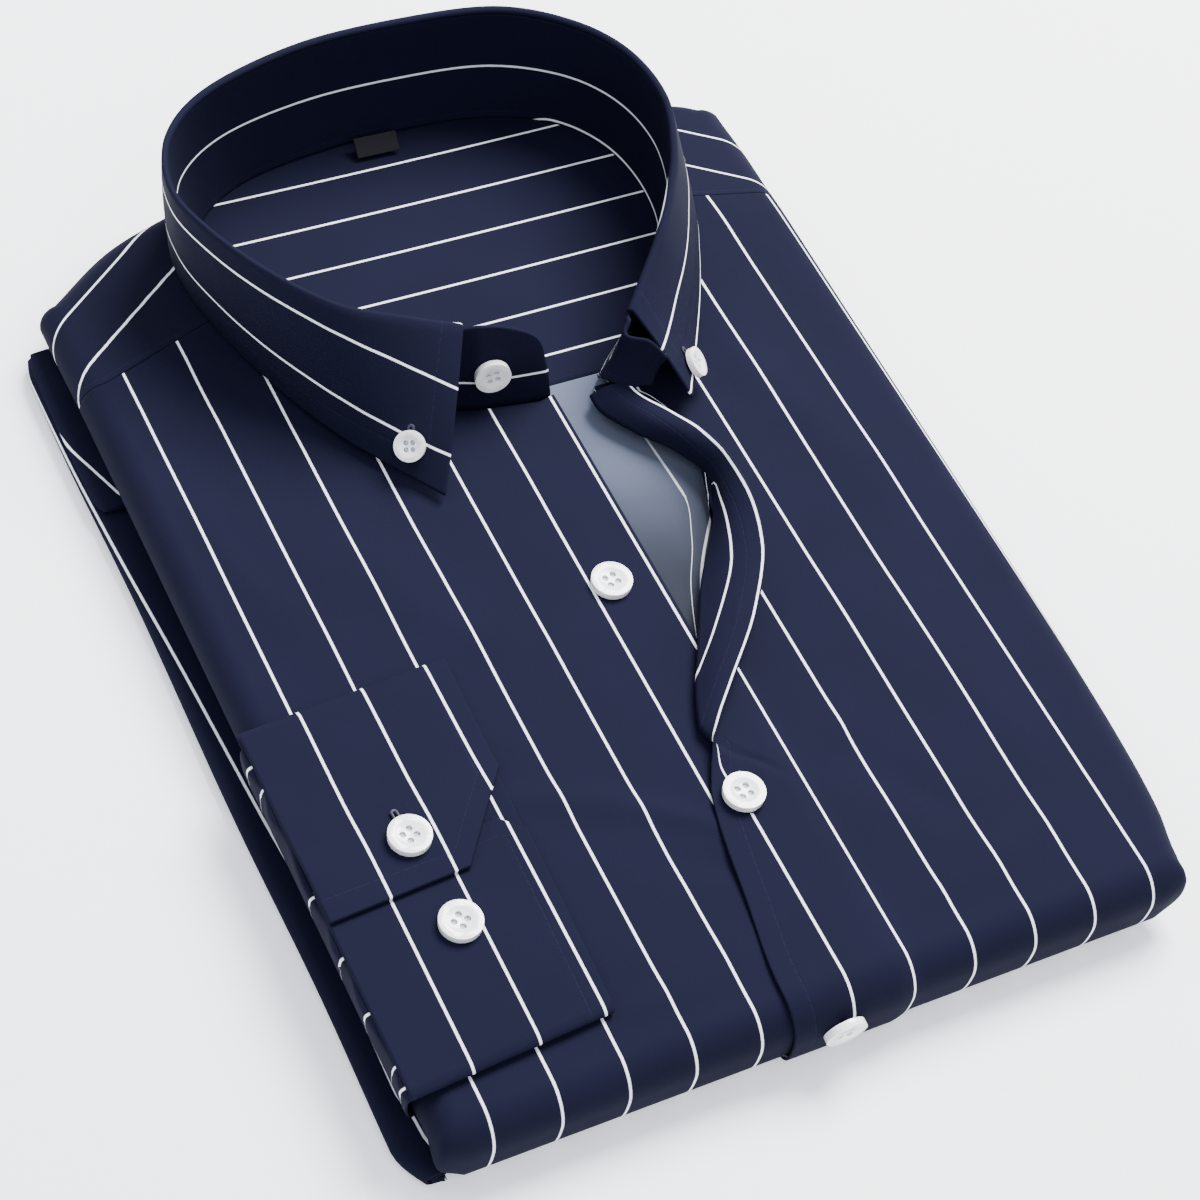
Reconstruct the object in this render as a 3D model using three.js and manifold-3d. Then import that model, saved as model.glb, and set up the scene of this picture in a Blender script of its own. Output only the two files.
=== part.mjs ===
// A man's long-sleeved pinstripe shirt, folded for a shelf and lying face up: the collar stands round
// its open neck, the left front is buttoned over the right one and turned back above the second
// button, and the right cuff lies on the front. Millimetres, +Z up; +X is the wearer's left and +Y
// runs from the folded front edge to the collar.
import * as THREE from 'three';
import Module from 'manifold-3d';
import { mergeVertices } from 'three/addons/utils/BufferGeometryUtils.js';

// ---- driving dimensions ----
const CENTRE = [2, 12.7]; // middle of the folded shirt's box, in the drafting frame used below
const TOP = 22; // height of the chest above the table
const SHOULDER_DROP = 5; // how much thinner the stack is at the shoulders
const CLOTH = 1.1; // one wall of cloth with its turnings
const COLLAR_CLOTH = 1.4; // two plies and interlining
const GAP = 0.3; // clearance between neighbouring pieces
const LEFT = -99.3; // where the flat chest ends and the side folds begin
const FRONT = -139; // where the flat chest ends and the front fold begins
const SIDE = { radius: 7.2, sweep: 2.6 }; // side folds: a round of cloth turned under
const ROLL = { radius: 9, height: 21.4, tuck: 2 }; // front fold: rounded, then down to the table
const BACK = { reach: 6, depth: 6, sweep: 2.8 }; // shoulder fold
const BAND_EDGE = 16; // edge of the right front's button band
const OVERLAP_LIFT = 1.45; // the left placket lies this far above the right front
const YOKE_SEAM = 59.5; // inner yoke meets the back here
const NECK_CLEARANCE = 3.4; // neckline of the fronts and yoke, outside the stand's seam line
const INNER = { height: 17.5, slope: -0.025, from: 57 }; // inside of the back, seen through the neck
const STRIP = { outer: -112.6, inner: -96.4, top: 5.4, upperTop: 7.8, step: 65 }; // folded sleeve
const CUFF = { width: 58, narrow: 54.5, corner: [-108.8, -133.4], skew: 0.07, ply: 1.1 }; // corner: sleeve end, low

const NAVY = 0x1b1f3b;
const PEARL = 0xf2f2ee;

// ---- small helpers ----
const clamp = THREE.MathUtils.clamp;
const lerp = THREE.MathUtils.lerp;
const ease = (low, high, value) => THREE.MathUtils.smoothstep(value, low, high);
const vec = (x, y, z) => new THREE.Vector3(x, y, z);
const range = (count) => Array.from({ length: count }, (_, index) => index);
const spread = (low, high, count) => range(count).map((i) => lerp(low, high, i / (count - 1)));

function lookUp(rows, key, column, value) {
  const last = rows.length - 1;
  const index = clamp(rows.findIndex((row) => row[key] >= value), 1, last);
  const at = value > rows[last][key] ? last : index;
  const [low, high] = [rows[at - 1], rows[at]];
  return lerp(low[column], high[column], clamp((value - low[key]) / (high[key] - low[key]), 0, 1));
}

function geometryOf(triangles) {
  const geometry = new THREE.BufferGeometry();
  const numbers = triangles.flat().flatMap((p) => [p.x, p.y, p.z]);
  geometry.setAttribute('position', new THREE.Float32BufferAttribute(numbers, 3));
  const merged = mergeVertices(geometry, 0.002);
  const index = merged.getIndex().array;
  const kept = [];
  for (let i = 0; i < index.length; i += 3) {
    const [a, b, c] = [index[i], index[i + 1], index[i + 2]];
    if (a !== b && b !== c && c !== a) kept.push(a, b, c);
  }
  merged.setIndex(kept);
  return facingOut(merged);
}

function facingOut(geometry) {
  const index = geometry.getIndex().array;
  const corner = (i) => new THREE.Vector3().fromBufferAttribute(geometry.attributes.position, index[i]);
  let volume = 0;
  for (let i = 0; i < index.length; i += 3) {
    volume += corner(i).dot(corner(i + 1).cross(corner(i + 2)));
  }
  if (volume < 0) {
    for (let i = 0; i < index.length; i += 3) [index[i], index[i + 1]] = [index[i + 1], index[i]];
  }
  return geometry;
}

const quad = (a, b, c, d) => [[a, b, c], [a, c, d]];

// Normals of a grid of points, rows by columns.
function gridNormals(grid) {
  return grid.map((row, i) => row.map((point, j) => {
    const next = grid[Math.min(i + 1, grid.length - 1)][j];
    const previous = grid[Math.max(i - 1, 0)][j];
    const right = row[Math.min(j + 1, row.length - 1)];
    const left = row[Math.max(j - 1, 0)];
    return next.clone().sub(previous).cross(right.clone().sub(left)).normalize();
  }));
}

// A wall of cloth: the grid is its outer face, and `inward` (a signed thickness) its inner one.
function wallOf(grid, inward) {
  const normals = gridNormals(grid);
  const inner = grid.map((row, i) => row.map((p, j) => p.clone().addScaledVector(normals[i][j], inward)));
  const [rows, columns] = [grid.length - 1, grid[0].length - 1];
  const triangles = [];
  for (let i = 0; i < rows; i++) {
    for (let j = 0; j < columns; j++) {
      triangles.push(...quad(grid[i][j], grid[i + 1][j], grid[i + 1][j + 1], grid[i][j + 1]));
      triangles.push(...quad(inner[i][j], inner[i][j + 1], inner[i + 1][j + 1], inner[i + 1][j]));
    }
  }
  for (let i = 0; i < rows; i++) {
    triangles.push(...quad(grid[i][0], inner[i][0], inner[i + 1][0], grid[i + 1][0]));
    triangles.push(...quad(grid[i][columns], grid[i + 1][columns], inner[i + 1][columns], inner[i][columns]));
  }
  for (let j = 0; j < columns; j++) {
    triangles.push(...quad(grid[0][j], grid[0][j + 1], inner[0][j + 1], inner[0][j]));
    triangles.push(...quad(grid[rows][j], inner[rows][j], inner[rows][j + 1], grid[rows][j + 1]));
  }
  return geometryOf(triangles);
}

// A smooth curve through points, sampled evenly between neighbours.
function smoothLine(points, steps) {
  const curve = new THREE.CatmullRomCurve3(points, false, 'centripetal');
  return range((points.length - 1) * steps + 1).map((i) => curve.getPoint(i / ((points.length - 1) * steps)));
}

// A flat polygon pushed up into a slab and tipped to the slope of the back's inside.
function innerSlab(outline, thickness, drop) {
  const shape = new THREE.Shape(outline.map(([x, y]) => new THREE.Vector2(x, y)));
  const slab = new THREE.ExtrudeGeometry(shape, { depth: thickness, bevelEnabled: false, steps: 1 });
  slab.deleteAttribute('normal');
  slab.deleteAttribute('uv');
  const position = slab.attributes.position;
  for (let i = 0; i < position.count; i++) {
    position.setZ(i, position.getZ(i) - drop + innerHeight(position.getY(i)));
  }
  return mergeVertices(slab, 0.002);
}

// ---- solids for joining and cutting ----
const wasm = await Module();
wasm.setup();

function solidOf(geometry) {
  const mesh = new wasm.Mesh({
    numProp: 3,
    vertProperties: new Float32Array(geometry.attributes.position.array),
    triVerts: new Uint32Array(geometry.getIndex().array),
  });
  return new wasm.Manifold(mesh);
}

function geometryFromSolid(solid) {
  const mesh = solid.getMesh();
  const geometry = new THREE.BufferGeometry();
  geometry.setAttribute('position', new THREE.BufferAttribute(mesh.vertProperties, 3));
  geometry.setIndex(new THREE.BufferAttribute(mesh.triVerts, 1));
  return geometry;
}

// ---- the folded body: a low slab with rounded sides ----
const RIGHT_SIDE = [
  { y: -170, x: 98.2 },
  { y: -139, x: 99.4 },
  { y: -125, x: 102.4 },
  { y: -105, x: 104.4 },
  { y: -50, x: 106.6 },
  { y: 20, x: 107.4 },
  { y: 90, x: 108.2 },
  { y: 150, x: 109.6 },
];
const SHOULDER_LINE = [
  { x: -99.3, y: 127, reach: 5 },
  { x: -76, y: 143, reach: 6 },
  { x: -58, y: 151, reach: 5 },
  { x: -30, y: 160.5, reach: 3 },
  { x: 0, y: 168.6, reach: 2.2 },
  { x: 20, y: 170.2, reach: 2.2 },
  { x: 45, y: 168, reach: 2.2 },
  { x: 70, y: 159.6, reach: 3 },
  { x: 85, y: 153.5, reach: 5 },
  { x: 104, y: 146.5, reach: 6 },
  { x: 109.6, y: 143.5, reach: 5 },
];
const rightSide = (y) => lookUp(RIGHT_SIDE, 'y', 'x', y);
const shoulderY = (x) => lookUp(SHOULDER_LINE, 'x', 'y', x);
const shoulderReach = (x) => lookUp(SHOULDER_LINE, 'x', 'reach', x);
const innerHeight = (y) => INNER.height + INNER.slope * (y - INNER.from);

function chestHeight(y) {
  return TOP - SHOULDER_DROP * clamp((y - 95) / 55, 0, 1.3);
}

// How far out and down the cloth has gone once it is `w` (0 to 1) of the way round each fold.
const FOLDS = {
  side: (w) => ({
    out: SIDE.radius * Math.sin(SIDE.sweep * w),
    drop: SIDE.radius * (1 - Math.cos(SIDE.sweep * w)),
  }),
  front: (w) => {
    const quarter = (ROLL.radius * Math.PI) / 2;
    const length = w * (quarter + ROLL.height - ROLL.radius);
    const turn = Math.min(length / ROLL.radius, Math.PI / 2);
    const straight = Math.max(0, length - quarter);
    const share = straight / (ROLL.height - ROLL.radius);
    return {
      out: ROLL.radius * Math.sin(turn) - ROLL.tuck * share * share,
      drop: ROLL.radius * (1 - Math.cos(turn)) + straight,
    };
  },
  back: (w, reach) => ({
    out: reach * Math.sin(BACK.sweep * w),
    drop: BACK.depth * (1 - Math.cos(BACK.sweep * w)),
  }),
};
const SIDE_LENGTH = SIDE.radius * SIDE.sweep;
const SIDE_DROP = SIDE.radius * (1 - Math.cos(SIDE.sweep));
const BACK_LENGTH = BACK.depth * BACK.sweep;
const ROLL_LENGTH = (ROLL.radius * Math.PI) / 2 + ROLL.height - ROLL.radius;

// The side folds end at one height all along, also where the stack is thinner.
const sideDepth = (y) => (chestHeight(y) - TOP + SIDE_DROP) / SIDE_DROP;

// The outer face of the fronts: `across` and `along` are measured on the flat cloth.
function chestPoint(across, along) {
  const right = rightSide(along);
  const x = clamp(across, LEFT, right);
  const y = Math.max(along, FRONT);
  const side = Math.abs(across - x) / SIDE_LENGTH;
  const front = (y - along) / ROLL_LENGTH;
  const w = Math.max(side, front);
  if (w === 0) return vec(x, y, chestHeight(y));
  const turn = Math.atan2(front, side);
  const share = turn / (Math.PI / 2);
  const [a, b] = [FOLDS.side(w), FOLDS.front(w)];
  const out = lerp(a.out, b.out, share);
  const drop = lerp(a.drop * sideDepth(y), b.drop, share);
  const way = Math.sign(across - x);
  return vec(x + way * out * Math.cos(turn), y - out * Math.sin(turn), chestHeight(y) - drop);
}

// The outer face of the yoke, over the side folds and over the shoulder line to the back.
function shoulderPoint(across, along) {
  const right = rightSide(along);
  const x = clamp(across, LEFT, right);
  const y = Math.min(along, shoulderY(x));
  const side = Math.abs(across - x) / SIDE_LENGTH;
  const back = (along - y) / BACK_LENGTH;
  const w = Math.max(side, back);
  if (w === 0) return vec(x, y, chestHeight(y));
  const turn = Math.atan2(back, side);
  const share = turn / (Math.PI / 2);
  const [a, b] = [FOLDS.side(w), FOLDS.back(w, shoulderReach(x))];
  const out = lerp(a.out, b.out, share);
  const drop = lerp(a.drop * sideDepth(y), b.drop, share);
  const slope = (shoulderY(x + 1) - shoulderY(x - 1)) / 2;
  const away = vec(-slope, 1, 0).normalize().multiplyScalar(Math.sin(turn));
  const way = away.add(vec(Math.sign(across - x) * Math.cos(turn), 0, 0)).normalize();
  return vec(x, y, chestHeight(y) - drop).addScaledVector(way, out);
}

// A face moved out along its normal.
function offFace(face, across, along, lift) {
  const step = 0.5;
  const point = face(across, along);
  if (lift === 0) return point;
  const alongStep = face(across, along + step).sub(face(across, along - step));
  const acrossStep = face(across + step, along).sub(face(across - step, along));
  return point.addScaledVector(acrossStep.cross(alongStep).normalize(), lift);
}

// What lies on the chest.
const onChest = (across, along, lift) => offFace(chestPoint, across, along, lift);

// ---- the collar, from the right front's tab round the neck to the left front's ----
// base: where the stand is sewn to the neck; fold: the collar's top edge; hem: the leaf's edge.
const COLLAR = [
  { base: [15.5, 54.5], fold: [14.6, 56.2, 30] },
  { base: [12, 55], fold: [11, 59, 41] },
  { base: [2, 56.5], fold: [0.5, 61, 47] },
  { base: [-10, 59], fold: [-11, 62, 50], hem: [-28.5, 28.5, 24.6] },
  { base: [-26, 67], fold: [-26, 66.5, 53.5], hem: [-37, 41, 24.6] },
  { base: [-40, 80], fold: [-43, 74, 56.5], hem: [-47, 56.5, 24.4] },
  { base: [-50, 95], fold: [-57, 89.5, 58.5], hem: [-56, 76.5, 24.2] },
  { base: [-56, 113], fold: [-67, 108, 59.5], hem: [-62.5, 98, 23.2] },
  { base: [-57, 131], fold: [-71, 126, 59.5], hem: [-66, 120, 21.8] },
  { base: [-51, 148.5], fold: [-64, 146, 58], hem: [-63.5, 141, 20.2] },
  { base: [-34, 160.5], fold: [-46, 161, 57], hem: [-48, 163, 18.6] },
  { base: [-8, 166], fold: [-14, 171, 56], hem: [-15, 174.5, 17.2] },
  { base: [20, 167.5], fold: [20, 173, 55], hem: [21, 177, 16.6] },
  { base: [45, 165], fold: [48, 169.5, 55], hem: [50, 173.5, 17] },
  { base: [65, 156.5], fold: [67, 157, 55.5], hem: [71.5, 161.5, 18] },
  { base: [76, 142.5], fold: [77, 140, 56.5], hem: [84, 144, 19.4] },
  { base: [79.5, 125], fold: [78.5, 119, 57.5], hem: [88, 123, 21.2] },
  { base: [77, 106.5], fold: [72.5, 100.5, 57], hem: [86, 103, 23.2] },
  { base: [68.5, 92.5], fold: [65.5, 88, 55.5], hem: [79, 86, 24.2] },
  { base: [57.5, 80], fold: [57, 76, 52.5], hem: [71.5, 71, 24.8] },
  { base: [46, 69], fold: [48, 66, 48.5], hem: [62, 54.5, 26] },
  { base: [36, 60], fold: [39, 56.5, 45], hem: [49.5, 34.5, 29.4] },
  { base: [29.8, 52.5], fold: [34.4, 51.6, 42] },
  { base: [33, 45.8], fold: [39.6, 46.6, 42.2] },
  { base: [41, 43.4], fold: [44.4, 43.4, 37.5] },
];
const LEAF = { first: 3, last: 21, bulge: 1.6, steps: 2 };

// The seam line rises where the tabs lie on the fronts.
function baseHeight(x, y) {
  const [low, high] = x > 22 ? [48, 60] : [42, 56];
  return innerHeight(y) + 0.35 + 9 * (1 - ease(low, high, y));
}
const ring = {
  base: smoothLine(COLLAR.map(({ base: [x, y] }) => vec(x, y, baseHeight(x, y))), LEAF.steps),
  fold: smoothLine(COLLAR.map(({ fold }) => vec(...fold)), LEAF.steps),
};
const leafRows = COLLAR.slice(LEAF.first, LEAF.last + 1);
const leafHem = smoothLine(leafRows.map(({ hem }) => vec(...hem)), LEAF.steps);

// Level direction that points out of the neck at each station of a ring.
function outwards(line, index) {
  const ahead = line[Math.min(index + 1, line.length - 1)];
  const behind = line[Math.max(index - 1, 0)];
  const along = ahead.clone().sub(behind);
  return vec(-along.y, along.x, 0).normalize();
}

function neckOutline(distance, first = 0, last = ring.base.length - 1) {
  return range(last - first + 1).map((i) => {
    const point = ring.base[first + i].clone();
    return point.addScaledVector(outwards(ring.base, first + i), distance);
  });
}

function collarStand() {
  const heights = [0, 0.3, 0.65, 1];
  const crown = vec(0, 0, -COLLAR_CLOTH - GAP - 0.6);
  const grid = ring.base.map((base, i) => {
    const out = outwards(ring.base, i);
    const leaf = i >= LEAF.first * LEAF.steps && i <= LEAF.last * LEAF.steps;
    const top = ring.fold[i].clone();
    if (leaf) top.addScaledVector(outwards(ring.fold, i), -1.2).add(crown);
    return heights.map((h) => {
      const point = base.clone().lerp(top, h);
      return point.addScaledVector(out, COLLAR_CLOTH / 2 + 1.2 * Math.sin(Math.PI * h));
    });
  });
  return wallOf(grid, COLLAR_CLOTH);
}

function leafPoint(fold, hem, out, share) {
  const middle = fold.clone().lerp(hem, 0.45).addScaledVector(out, LEAF.bulge);
  const start = fold.clone().lerp(middle, share);
  return start.lerp(middle.clone().lerp(hem, share), share);
}

function collarLeaf() {
  const first = LEAF.first * LEAF.steps;
  const shares = [0.08, 0.3, 0.55, 0.8, 1];
  const grid = leafHem.map((hem, i) => {
    const fold = ring.fold[first + i];
    const out = outwards(ring.fold, first + i);
    const crest = [[-1.9, -0.9], [-0.9, 0]].map(([side, up]) => {
      return fold.clone().addScaledVector(out, side).add(vec(0, 0, up));
    });
    return [...crest, ...shares.map((share) => leafPoint(fold, hem, out, share))];
  });
  return wallOf(grid, COLLAR_CLOTH - 0.4);
}

// ---- fronts ----
const YOKE_LEFT = [[-200, 93.2], [LEFT, 95.6], [-62.5, 109]];
const YOKE_RIGHT = [[83.5, 112], [113.4, 104], [200, 102]];

const polyline = (points, x) => lookUp(points.map(([px, py]) => ({ x: px, y: py })), 'x', 'y', x);

// Slides a row of the grid up to the panel's shaped top edge over its last stretch.
const SHAPED = 0.72;
const shapeTop = (y, top, share) => lerp(y, Math.max(top, y), clamp((share - SHAPED) / (1 - SHAPED), 0, 1));

// The neckline of a front: the stand's seam line, moved out, ordered from left to right.
function neckEdge(first, last) {
  const points = neckOutline(NECK_CLEARANCE, first, last).map((p) => [p.x, p.y]);
  const ordered = points.sort((p, q) => p[0] - q[0]).filter(([, y]) => y < 111);
  return ordered.filter(([x], i) => i === 0 || x > ordered[i - 1][0] + 0.3);
}

function frontRight() {
  const neck = neckEdge(2, 8 * LEAF.steps).filter(([x]) => x < BAND_EDGE - 3);
  const edge = [...YOKE_LEFT, ...neck, [BAND_EDGE, 52.8]];
  const across = [
    ...spread(LEFT - SIDE_LENGTH, LEFT, 7),
    -90, -80, -71, -62.5, -58.5, -54, -49, -42, -34, -25, -15, -5, 5, BAND_EDGE,
  ];
  const along = [...spread(FRONT - ROLL_LENGTH, FRONT, 8), ...spread(-125, 50, 15)];
  const grid = along.map((y, row) => across.map((x) => {
    return chestPoint(x, shapeTop(y, polyline(edge, x), row / (along.length - 1)));
  }));
  return wallOf(grid, CLOTH);
}

// The left front above its second button: roll is where the cloth turns back, edge the placket's
// free edge, rise that edge's height above the chest.
const TURNED_BACK = [
  { y: -180, roll: -11, edge: -11, rise: 0, open: 0 },
  { y: -155, roll: -12.5, edge: -12.5, rise: 0, open: 0 },
  { y: -140, roll: -13, edge: -13, rise: 0, open: 0 },
  { y: -112, roll: -9, edge: -9, rise: 0, open: 0 },
  { y: -83, roll: -3.4, edge: -3.4, rise: 0, open: 0 },
  { y: -78, roll: -2.2, edge: -1.2, rise: 2.4, open: 0.3 },
  { y: -72, roll: -0.8, edge: 2, rise: 3.6, open: 0.7 },
  { y: -64, roll: 1.8, edge: 7.8, rise: 5, open: 1 },
  { y: -56, roll: 4.8, edge: 15, rise: 6.2, open: 1 },
  { y: -38, roll: 14.6, edge: 31.4, rise: 8.4, open: 1 },
  { y: -19, roll: 25.8, edge: 43.2, rise: 10.5, open: 1 },
  { y: -4, roll: 37.6, edge: 46.8, rise: 12, open: 1 },
  { y: 8, roll: 42.6, edge: 47.4, rise: 11, open: 1 },
  { y: 18, roll: 38.4, edge: 46.6, rise: 8, open: 1 },
  { y: 27, roll: 30, edge: 43.4, rise: 5.4, open: 1 },
  { y: 37, roll: 24.2, edge: 39, rise: 4.6, open: 1 },
  { y: 56, roll: 27, edge: 38, rise: 4.6, open: 1 },
];
const TURN = { radius: 0.9, width: 22, flap: [0, 0.34, 0.68, 1], curl: [0.25, 0.5, 0.75, 1] };

const overlapLift = (x) => OVERLAP_LIFT * (1 - ease(BAND_EDGE + 1, BAND_EDGE + 9, x));

// One row of the left front, from the placket's edge to where the chest is flat again.
function placketRow(y, share) {
  const [roll, free, rise, open] = ['roll', 'edge', 'rise', 'open'].map((c) => lookUp(TURNED_BACK, 'y', c, y));
  const centre = vec(roll + TURN.radius + CLOTH, y, chestHeight(y) + overlapLift(roll) + TURN.radius);
  const tip = vec(free, y, chestHeight(y) + rise);
  const lean = Math.atan2(tip.z - centre.z, tip.x - centre.x);
  const around = (angle) => centre.clone().add(
    vec(Math.cos(angle), 0, Math.sin(angle)).multiplyScalar(TURN.radius),
  );
  const leave = lean + Math.PI / 2;
  const bent = [
    ...TURN.flap.map((t) => tip.clone().lerp(around(leave), t)),
    ...TURN.curl.map((t) => around(lerp(leave, Math.PI * 1.5, t))),
  ];
  const step = TURN.width / bent.length;
  const top = shapeTop(y, 0, 0);
  return bent.map((point, k) => {
    const x = free + step * k;
    const raised = lerp(0, 9 * (k / bent.length), clamp((share - SHAPED) / (1 - SHAPED), 0, 1));
    return onChest(x, top, overlapLift(x)).lerp(point, open).add(vec(0, raised, 0));
  });
}

function frontLeft() {
  const edge = [...neckEdge(17 * LEAF.steps, 22 * LEAF.steps), ...YOKE_RIGHT];
  const flat = [0, 0.04, 0.09, 0.16, 0.25, 0.35, 0.45, 0.55, 0.65, 0.75, 0.84, 0.92, 1];
  const sideways = spread(0, SIDE_LENGTH, 7).slice(1);
  const along = [
    ...spread(FRONT - ROLL_LENGTH, FRONT, 8),
    ...spread(FRONT + 12, -92, 4),
    ...spread(-85, 40, 20),
  ];
  const grid = along.map((y, row) => {
    const share = row / (along.length - 1);
    const [roll, free, open] = ['roll', 'edge', 'open'].map((c) => lookUp(TURNED_BACK, 'y', c, y));
    const right = rightSide(y);
    const begin = lerp(free + TURN.width, roll + TURN.radius + CLOTH + 1, open);
    const rest = [...flat.map((t) => lerp(begin, right, t)), ...sideways.map((s) => right + s)];
    return [
      ...placketRow(y, share),
      ...rest.map((x) => onChest(x, shapeTop(y, polyline(edge, x), share), overlapLift(x))),
    ];
  });
  return wallOf(grid, CLOTH);
}

// ---- yoke and back ----
function yokeOuter() {
  const ends = { first: 8 * LEAF.steps, last: 16 * LEAF.steps };
  const neck = neckOutline(NECK_CLEARANCE, ends.first, ends.last).map((p) => [p.x, p.y]);
  const back = neck.filter(([x, y], i) => y > 112 && (i === 0 || x > neck[i - 1][0] - 5));
  const ordered = back.sort((p, q) => p[0] - q[0]);
  const rising = ordered.filter(([x], i) => i === 0 || x > ordered[i - 1][0] + 0.3);
  const left = YOKE_LEFT.map(([x, y]) => [x, y + GAP + 0.1]);
  const right = YOKE_RIGHT.map(([x, y]) => [x, y + GAP + 0.1]);
  const edge = [...left, ...rising, ...right];
  const across = [
    ...spread(LEFT - SIDE_LENGTH, LEFT, 6),
    -92, -84, -76, -69, -63, -61.2, -60, -57, -52, -46, -40, -33, -25, -15, -3, 9, 21, 33, 45, 55, 64, 71,
    77, 81, 82.6, 84, 88, 94, 101,
    ...spread(0, SIDE_LENGTH, 6),
  ];
  const along = spread(0, 1, 4);
  const around = spread(0, 1, 6).slice(1);
  const grid = across.map((value, i) => {
    const sideways = i >= across.length - 6;
    const x = sideways ? rightSide(120) + value : value;
    const start = polyline(edge, x);
    const end = Math.max(shoulderY(clamp(x, LEFT, rightSide(140))), start + 0.6);
    const flat = along.map((t) => shoulderPoint(x, lerp(start, end, t)));
    const hem = shoulderY(clamp(x, LEFT, rightSide(140))) + BACK_LENGTH;
    return [...flat, ...around.map((t) => shoulderPoint(x, lerp(end, hem, t)))];
  });
  return wallOf(grid, -CLOTH);
}

const OPENING = [
  [-4, 62], [-4, 46], [7, -30], [12, -47], [20, -47], [45, -22], [57, 5], [57, 30], [48, 62],
];

function yokeInner() {
  const neck = neckOutline(0.2, 4, ring.base.length - 7).map(({ x, y }) => {
    return [x, clamp(y, YOKE_SEAM + GAP / 2, shoulderY(x) - 0.6)];
  });
  const outline = neck.filter(([, y], i) => y > YOKE_SEAM + GAP || i === 0 || neck[i - 1][1] > YOKE_SEAM + GAP);
  return innerSlab(outline, CLOTH, CLOTH);
}

function backPanel() {
  const top = YOKE_SEAM - GAP / 2;
  const outline = OPENING.map(([x, y]) => [x + Math.sign(20 - x) * 0.8, Math.min(y + Math.sign(-y) * 0.8, top)]);
  return innerSlab(outline, CLOTH, CLOTH);
}

// ---- everything folded away, one rounded solid with grooved edges ----
const INSET = CLOTH + GAP + 0.25;
const UPPER_ROUNDS = {
  left: [0.25, 0.5, 0.72, 0.88],
  right: [0.25, 0.5, 0.72, 0.88],
  front: [0.12, 0.25, 0.38, 0.5],
  back: [0.25, 0.5, 0.7, 0.84],
};
const LOWER_LAYERS = {
  left: [[1.5, 8.7], [-4.6, 8.4], [-4.8, 5], [-4.8, 2], [-5.4, 0]],
  right: [[0.8, 8.5], [4.8, 7.2], [6.8, 5.2], [6.8, 2.4], [4.8, 0]],
  front: [[6.8, 9], [6.5, 6.5], [5.9, 4], [5, 1.8], [4.2, 0]],
};
// The same at the shoulders: out as a share of the fold's reach and a shift, then share of the height.
const BACK_LAYERS = [[0, -1.4, 1.16], [0.3, -0.4, 0.74], [0.7, 0, 0.5], [0.66, 0, 0.2], [0.45, 0, 0]];

// Stations round the flat top, each with the way its cloth turns down: sideways, along, and the fold.
function rimStations(columns, rows) {
  const corner = [0.25, 0.5, 0.75];
  const at = (i, j) => {
    const y0 = lerp(FRONT, 120, rows[j]);
    const x = lerp(LEFT, rightSide(y0), columns[i]);
    const y = lerp(FRONT, shoulderY(x), rows[j]);
    return vec(lerp(LEFT, rightSide(y), columns[i]), y, 0);
  };
  const [m, n] = [columns.length - 1, rows.length - 1];
  const fan = (i, j, from, to) => corner.map((t) => ({ i, j, from, to, t }));
  const run = (cells, side) => cells.map(([i, j]) => ({ i, j, from: side, to: side, t: 0 }));
  return {
    at,
    stations: [
      ...run(range(n + 1).map((j) => [0, n - j]), 'left'),
      ...fan(0, 0, 'left', 'front'),
      ...run(range(m + 1).map((i) => [i, 0]), 'front'),
      ...fan(m, 0, 'front', 'right'),
      ...run(range(n + 1).map((j) => [m, j]), 'right'),
      ...fan(m, n, 'right', 'back'),
      ...run(range(m + 1).map((i) => [m - i, n]), 'back'),
      ...fan(0, n, 'back', 'left'),
    ],
  };
}

const WAYS = { left: [-1, 0], front: [0, -1], right: [1, 0], back: [0, 1] };

function rimPoints(origin, { from, to, t }) {
  const turn = (t * Math.PI) / 2;
  const longest = Math.max(Math.cos(turn), Math.sin(turn));
  const [sideways, onwards] = [Math.cos(turn) / longest, Math.sin(turn) / longest];
  const share = { [from]: t > 0 ? sideways : 1, [to]: t > 0 ? onwards : 1 };
  const reach = shoulderReach(origin.x);
  const face = share.back === undefined ? chestPoint : shoulderPoint;
  const upper = range(4).map((k) => {
    const gone = (side) => (share[side] ?? 0) * lerp(UPPER_ROUNDS[from][k], UPPER_ROUNDS[to][k], t);
    const across = origin.x + SIDE_LENGTH * (gone('right') - gone('left'));
    const along = origin.y + BACK_LENGTH * gone('back') - ROLL_LENGTH * gone('front');
    return offFace(face, across, along, -INSET - 0.9 * Math.sin(Math.PI * t));
  });
  const backSlope = (shoulderY(origin.x + 2) - shoulderY(origin.x - 2)) / 4;
  const wayOf = (side) => (side === 'back' ? vec(-backSlope, 1, 0).normalize() : vec(...WAYS[side], 0));
  const way = wayOf(from).multiplyScalar(Math.cos(turn)).addScaledVector(wayOf(to), Math.sin(turn)).normalize();
  const backEnd = chestHeight(origin.y) - BACK.depth * (1 - Math.cos(BACK.sweep));
  const backLayers = BACK_LAYERS.map(([part, shift, up]) => [part * reach + shift, up * backEnd]);
  const layers = (side) => (side === 'back' ? backLayers : LOWER_LAYERS[side]);
  const gather = 1 - 0.68 * Math.sin(Math.PI * t);
  const blend = from === 'left' ? t * t : to === 'left' ? 1 - (1 - t) ** 2 : t;
  const lower = layers(from).map(([out, z], k) => {
    const [nextOut, nextZ] = layers(to)[k];
    const reached = lerp(out, nextOut, blend);
    return origin.clone().setZ(lerp(z, nextZ, t)).addScaledVector(way, reached > 0 ? reached * gather : reached);
  });
  return [...upper, ...lower];
}

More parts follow.
